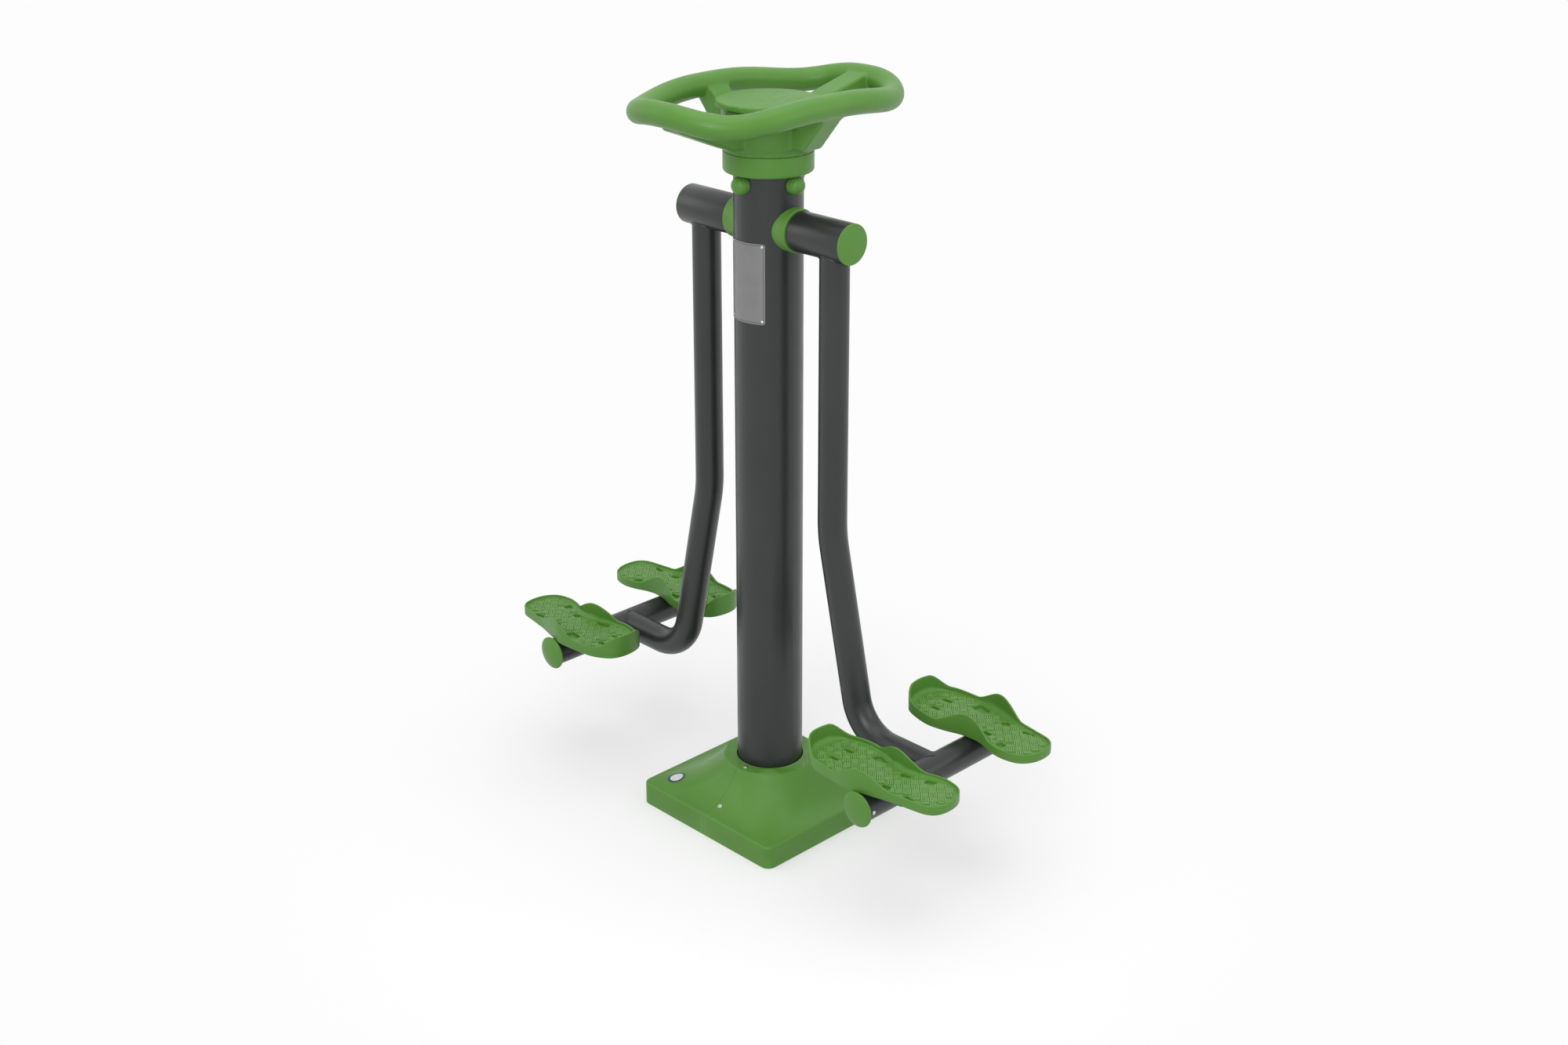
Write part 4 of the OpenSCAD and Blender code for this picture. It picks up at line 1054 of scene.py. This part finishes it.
def clear(point):
    if not inside(point, floor_ring):
        return False
    if min((point - p).length for p in floor_ring) < CLEAR_OF_EDGE:
        return False
    return all(min((point - p).length for p in ring) > CLEAR_OF_POCKET and not inside(point, ring)
               for ring in pocket_rings)


def tread_ribs():
    """Middle and direction of each rib whose whole length lies clear on the floor."""
    middle = tray_point((0.5, 0.0))
    axes = [Vector((math.cos(turn), math.sin(turn))) for turn in (math.pi / 4, 3 * math.pi / 4)]
    cells = range(-CELLS_EACH_WAY, CELLS_EACH_WAY + 1)
    for i in cells:
        for j in cells:
            cell = middle + axes[0] * CELL * i + axes[1] * CELL * j
            if not inside(cell, outline):
                continue
            run, pile = axes if (i + j) % 2 else axes[::-1]
            for k in range(RIBS_IN_CELL):
                rib_middle = cell + pile * RIB_PITCH * (k - (RIBS_IN_CELL - 1) / 2)
                if all(clear(rib_middle + run * RIB_LEN / 2 * end) for end in (-1, 0, 1)):
                    yield rib_middle, run


def rib(bm, middle, along):
    across = Vector((-along.y, along.x))
    levels = []
    for half_len, half_w, z in ((RIB_LEN / 2, RIB_BASE / 2, FLOOR_Z - RIB_ROOT),
                                (RIB_LEN / 2, RIB_BASE / 2, FLOOR_Z),
                                (RIB_LEN / 2 - RIB_SLANT, RIB_TOP / 2, FLOOR_Z + RIB_H)):
        corners = flat_box(-half_len, half_len, -half_w, half_w)
        levels.append(raised([middle + along * p.x + across * p.y for p in corners], z))
    loft(bm, levels)


ribs = list(tread_ribs())
print("tread ribs on each tray", len(ribs))

# %% Ribs under the floor
UNDER_RIB_T = 3 * MM
UNDER_RIB_LIFT = 0.1 * MM
CROSS_RIBS = 7


def under_ribs(bm):
    for i in range(1, CROSS_RIBS + 1):
        x = TOE_X + TRAY_LEN * i / (CROSS_RIBS + 1)
        ends = crossings(drawn_in(TRAY_WALL - SLAB_EDGE), x)
        corners = flat_box(x - UNDER_RIB_T / 2, x + UNDER_RIB_T / 2, min(ends), max(ends))
        loft(bm, [raised(corners, TRAY_BOTTOM + UNDER_RIB_LIFT),
                  raised(corners, FLOOR_Z - SLAB_T + SLAB_EDGE)])


# %% Put the trays in the scene
for side in SIDES:
    for end, flip in (("far", 1.0), ("near", -1.0)):
        bm = bmesh.new()
        tray_body(bm)
        under_ribs(bm)
        for middle, along in ribs:
            rib(bm, middle, along)
        bmesh.ops.transform(bm, matrix=mirrored(y=flip), verts=bm.verts)
        tray = "_" + end + "_tray"
        add_to_side(side, tray + "_moulding", bm, "green_plastic", tray, sharp=40)

# %% [markdown]
# ## Plates under the trays
# Each tray is bolted to a small steel plate, and two ribs under the plate sit on the tread tube
# like a saddle. They are welded to the tube before the frame is painted.

# %% Model the tray plates
BRACKET_LOW, BRACKET_HIGH = low("right_tray_plates"), high("right_tray_plates")
BRACKET_T = 3 * MM
BRACKET_ROUND = 8 * MM
BRACKET_EDGE = 0.5 * MM
SADDLE_T = 5 * MM
SADDLE_OUT = 25 * MM
SADDLE_TOP = BRACKET_HIGH.z - BRACKET_T / 2
SADDLE_TOP_HALF = LEG_R + 4 * MM
SADDLE_FOOT = SADDLE_TOP - LEG_R / 2
SADDLE_FOOT_HALF = LEG_R - 0.2 * MM

bracket = bmesh.new()
sheet = rounded(flat_box(BRACKET_LOW.x, BRACKET_HIGH.x, 2 * TRAY_Y - BRACKET_HIGH.y,
                         BRACKET_HIGH.y), BRACKET_ROUND)
loft(bracket, [raised(sheet, BRACKET_HIGH.z - BRACKET_T), raised(sheet, BRACKET_HIGH.z)])
end_view = [(-SADDLE_TOP_HALF, SADDLE_TOP), (-SADDLE_FOOT_HALF, SADDLE_FOOT),
            (SADDLE_FOOT_HALF, SADDLE_FOOT), (SADDLE_TOP_HALF, SADDLE_TOP)]
for out in (-SADDLE_OUT, SADDLE_OUT):
    faces = [TRAY_Y + out + half * SADDLE_T for half in (-0.5, 0.5)]
    loft(bracket, [[Vector((TREAD_X + x, y, z)) for x, z in end_view] for y in faces])
soften(bracket, BRACKET_EDGE)
add_to_legs("_tray_brackets", bracket, "dark_paint", "_tray_plates")

# %% [markdown]
# ## Base cover
# The cover is moulded in two like halves that meet beside the post. It falls in a concave flare
# from a flat ring round the post to a rolled edge, and its upright sides hide the base plate and
# the anchors. Each half is a loft of rounded squares, cut through at the seam.

# %% Rings of the base cover
COVER_HALF = high("right_base_cover").y
COVER_TOP = high("right_base_cover").z
COVER_FOOT = low("right_base_cover").z
COVER_EDGE_H = 50 * MM
COVER_CORNER_R = 20 * MM
COVER_EDGE_R = 5 * MM
COVER_WALL = 3 * MM
COVER_SOFT = 0.6 * MM
COVER_HOLE_R = POST_R + 2 * MM
COVER_RING_R = COVER_HOLE_R + 26 * MM
COVER_FLARE = 2.2
CORNER_POWER = 1.8
EDGE_TURN = 75
EDGE_STEPS = 5
FLARE_STEPS = 20
FLARE_CROWD = 1.3
SEAM = 0.4 * MM


def square_points(half, radius, straight=14, corner=24):
    """Square with round corners, as points that start in the middle of the +X side."""
    quarter = [Vector((half, (half - radius) * i / straight)) for i in range(straight)]
    quarter += [Vector(p) for p in arc((half - radius, half - radius), radius, 0, 90, corner)]
    quarter += [Vector(((half - radius) * i / straight, half)) for i in range(straight - 1, 0, -1)]
    return [Matrix.Rotation(math.radians(90 * q), 2) @ p for q in range(4) for p in quarter]


def flare_ring(share, deep):
    """Round at share 0, and a square with small corners at share 1."""
    half = COVER_RING_R + (COVER_HALF - COVER_EDGE_R - COVER_RING_R) * share - deep
    least = COVER_CORNER_R - COVER_EDGE_R
    most = COVER_RING_R - deep
    corner = most + (least - most) * share ** CORNER_POWER
    height = COVER_EDGE_H + (COVER_TOP - COVER_EDGE_H) * (1 - share) ** COVER_FLARE - deep
    return raised(square_points(half, min(corner, half)), height)


def side_ring(draw, deep, height):
    return raised(square_points(COVER_HALF - draw - deep, COVER_CORNER_R - draw), height)


def hole_ring(height):
    edge = square_points(COVER_HALF, COVER_CORNER_R)
    return raised([p.normalized() * COVER_HOLE_R for p in edge], height)


def cover_levels(deep):
    """Rings from the foot to the ring round the post."""
    levels = [side_ring(0, deep, COVER_FOOT)]
    for i in range(EDGE_STEPS + 1):
        turn = math.radians(EDGE_TURN * i / EDGE_STEPS)
        levels.append(side_ring(COVER_EDGE_R * (1 - math.cos(turn)), deep,
                                COVER_EDGE_H - COVER_EDGE_R * (1 - math.sin(turn)) - deep))
    return levels + [flare_ring((1 - i / FLARE_STEPS) ** FLARE_CROWD, deep)
                     for i in range(FLARE_STEPS + 1)]


# %% Model the two halves of the cover
cover_skins = []
for side, sign in SIDES.items():
    bm = bmesh.new()
    hole = [hole_ring(COVER_TOP), hole_ring(COVER_TOP - COVER_WALL)]
    loft(bm, cover_levels(0) + hole + cover_levels(COVER_WALL)[::-1], ring_of_rings=True)
    soften(bm, COVER_SOFT, angle=60)
    bmesh.ops.bisect_plane(bm, geom=bm.verts[:] + bm.edges[:] + bm.faces[:], dist=SAME_PLACE,
                           plane_co=(sign * SEAM / 2, 0, 0), plane_no=(-sign, 0, 0),
                           clear_outer=True)
    bmesh.ops.holes_fill(bm, edges=[edge for edge in bm.edges if edge.is_boundary], sides=0)
    bmesh.ops.recalc_face_normals(bm, faces=bm.faces)
    cover_skins.append(BVHTree.FromBMesh(bm))
    add_piece(side + "_cover_moulding", bm, ROOT, "green_plastic", side + "_base_cover", sharp=50)

# %% [markdown]
# ## Screws, rivets and the plate
# Pan-head screws hold the lap of the cover and the caps of the tread tubes, and blind rivets hold
# the information plate. The plate is a thin sheet bent to the post, bare inside a thin printed
# frame. A round sticker sits on one corner of the cover and is left blank too.

# %% Model the small fasteners
RECESS_R, RECESS_DRAFT, RECESS_FLOOR = 0.24, 0.8, 0.7
CROWN_R, CROWN_MIDDLE = 0.55, 0.35
HEAD_SINK = 0.4 * MM
LAP_HEAD = (5.4 * MM, 2.8 * MM)
LAP_SCREW_X = 12 * MM
RING_SCREW_Y = (COVER_HOLE_R + COVER_RING_R) / 2
FLARE_SHARE = 0.65
FLARE_SCREW_Y = COVER_RING_R + FLARE_SHARE * (COVER_HALF - COVER_EDGE_R - COVER_RING_R)
CAP_HEAD = (4.3 * MM, 1.8 * MM)
CAP_SCREW_IN = 12 * MM


def pan_head(radius, height):
    """Screw head with a round driving recess, its seat at zero and its crown along Z."""
    recess_r, floor_z = radius * RECESS_R, height * RECESS_FLOOR
    profile = [(0, floor_z), (recess_r * RECESS_DRAFT, floor_z), (recess_r, height)]
    crown = arc((radius * (1 - CROWN_R), height * CROWN_MIDDLE), radius * CROWN_R, 75, 5, 6)
    profile += [(r, min(h, height)) for r, h in crown]
    return revolve(profile + [(radius, 0), (0, -HEAD_SINK)], steps=32)


def facing(place, outward):
    return Matrix.Translation(place) @ outward.to_track_quat("Z", "Y").to_matrix().to_4x4()


def on_cover(x, y):
    """Place and direction of the cover's surface above a point."""
    for skin in cover_skins:
        place, outward, _, _ = skin.ray_cast(Vector((x, y, 2 * COVER_TOP)), Vector((0, 0, -1)))
        if place:
            return place, outward
    raise ValueError("no cover under this point")


head = pan_head(*LAP_HEAD)
bm = bmesh.new()
for turn in (1, -1):
    for y in (RING_SCREW_Y, FLARE_SCREW_Y):
        stamp(bm, head, facing(*on_cover(turn * LAP_SCREW_X, -turn * y)))
head.free()
add_piece("cover_screw_heads", bm, ROOT, "bright_steel", "cover_screws")

head = pan_head(*CAP_HEAD)
place = (TREAD_X + LEG_R, CAP_TUBE_END - CAP_SCREW_IN, TREAD_Z)
bmesh.ops.transform(head, matrix=facing(place, X_AXIS), verts=head.verts)
add_to_legs("_cap_screw_heads", head, "bright_steel", "_cap_screws")

# %% Model the information plate and its rivets
PLATE_LOW, PLATE_HIGH = low("info_plate").z, high("info_plate").z
PLATE_BACK = POST_R + 0.1 * MM
PLATE_FACE = PLATE_BACK + 1 * MM
PLATE_CORNER = 5 * MM
PLATE_COLUMNS = 40
RIVET_IN = 6 * MM
RIVET_R = 3 * MM
RIVET_H = 1.5 * MM
RIVET_SINK = 0.15 * MM


def plate_column(share, rows=12):
    """Upright strip of the plate, shorter near the ends because the corners are round."""
    width = 2 * PLATE_HALF_ANGLE * POST_R
    from_end = min(share, 1 - share) * width
    cut = 0.0
    if from_end < PLATE_CORNER:
        cut = PLATE_CORNER - math.sqrt(PLATE_CORNER ** 2 - (PLATE_CORNER - from_end) ** 2)
    turn = -math.pi / 2 + PLATE_HALF_ANGLE * (2 * share - 1)
    long = PLATE_HIGH - PLATE_LOW - 2 * cut
    heights = [PLATE_LOW + cut + long * i / rows for i in range(rows + 1)]
    return [Vector((r * math.cos(turn), r * math.sin(turn), z))
            for r, column in ((PLATE_FACE, heights), (PLATE_BACK, heights[::-1]))
            for z in column]


bm = bmesh.new()
loft(bm, [plate_column(0.5 - 0.5 * math.cos(math.pi * i / PLATE_COLUMNS))
          for i in range(PLATE_COLUMNS + 1)])
add_piece("information_sheet", bm, ROOT, "plate_steel", "info_plate", finish=SHEET)

profile = [(0, -RIVET_SINK), (RIVET_R, -RIVET_SINK)]
profile += [(RIVET_R * r, RIVET_H * h) for r, h in arc((0, 0), 1, 0, 90, 8)[:-1]]
rivet = revolve(profile + [(0, RIVET_H)], steps=32)
bm = bmesh.new()
rivet_angle = PLATE_HALF_ANGLE - RIVET_IN / POST_R
for turn in (-math.pi / 2 - rivet_angle, -math.pi / 2 + rivet_angle):
    outward = Vector((math.cos(turn), math.sin(turn), 0))
    for z in (PLATE_LOW + RIVET_IN, PLATE_HIGH - RIVET_IN):
        stamp(bm, rivet, facing(outward * PLATE_FACE + z * Z_AXIS, outward))
rivet.free()
add_piece("rivet_domes", bm, ROOT, "bright_steel", "plate_rivets")

# %% Model the blank sticker
STICKER_XY = (-147 * MM, -142.5 * MM)
STICKER_R = 20 * MM
STICKER_DISC_R = 14.5 * MM
STICKER_LIFT = 0.35 * MM
STICKER_ROOT = -0.2 * MM


def sticker_ring(radius, lift, steps=64):
    """Ring laid on the cover's surface round the middle of the sticker."""
    middle, outward = on_cover(*STICKER_XY)
    turned = facing(middle, outward)
    ring = []
    for point in ring_round(Vector(), radius, X_AXIS, Y_AXIS, steps):
        near = min((skin.find_nearest(turned @ point) for skin in cover_skins),
                   key=lambda hit: hit[3])
        ring.append(near[0] + near[1] * lift)
    return ring


def add_film(name, outer, shares, finish, hole=()):
    """Adds a thin film from its outer radius in to its middle, or to the hole in it."""
    rings = [sticker_ring(outer, STICKER_ROOT)]
    rings += [sticker_ring(r, STICKER_LIFT) for r in [outer * s for s in shares] + list(hole)]
    rings += [sticker_ring(r, STICKER_ROOT) for r in hole]
    bm = bmesh.new()
    loft(bm, rings, ring_of_rings=bool(hole))
    add_piece(name, bm, ROOT, "plate_steel", finish=finish)


add_film("sticker_rim", STICKER_R, (1, 0.97, 0.9, 0.8), STICKER_TEAL, (STICKER_DISC_R,))
add_film("sticker_disc", STICKER_DISC_R, (1, 0.85, 0.65, 0.45, 0.25, 0.1), STICKER_WHITE)

# %% [markdown]
# ## Colour view
# Colours are shown as they are written, with no film curve over them.

# %% Colour view
scene.view_settings.view_transform = "Standard"
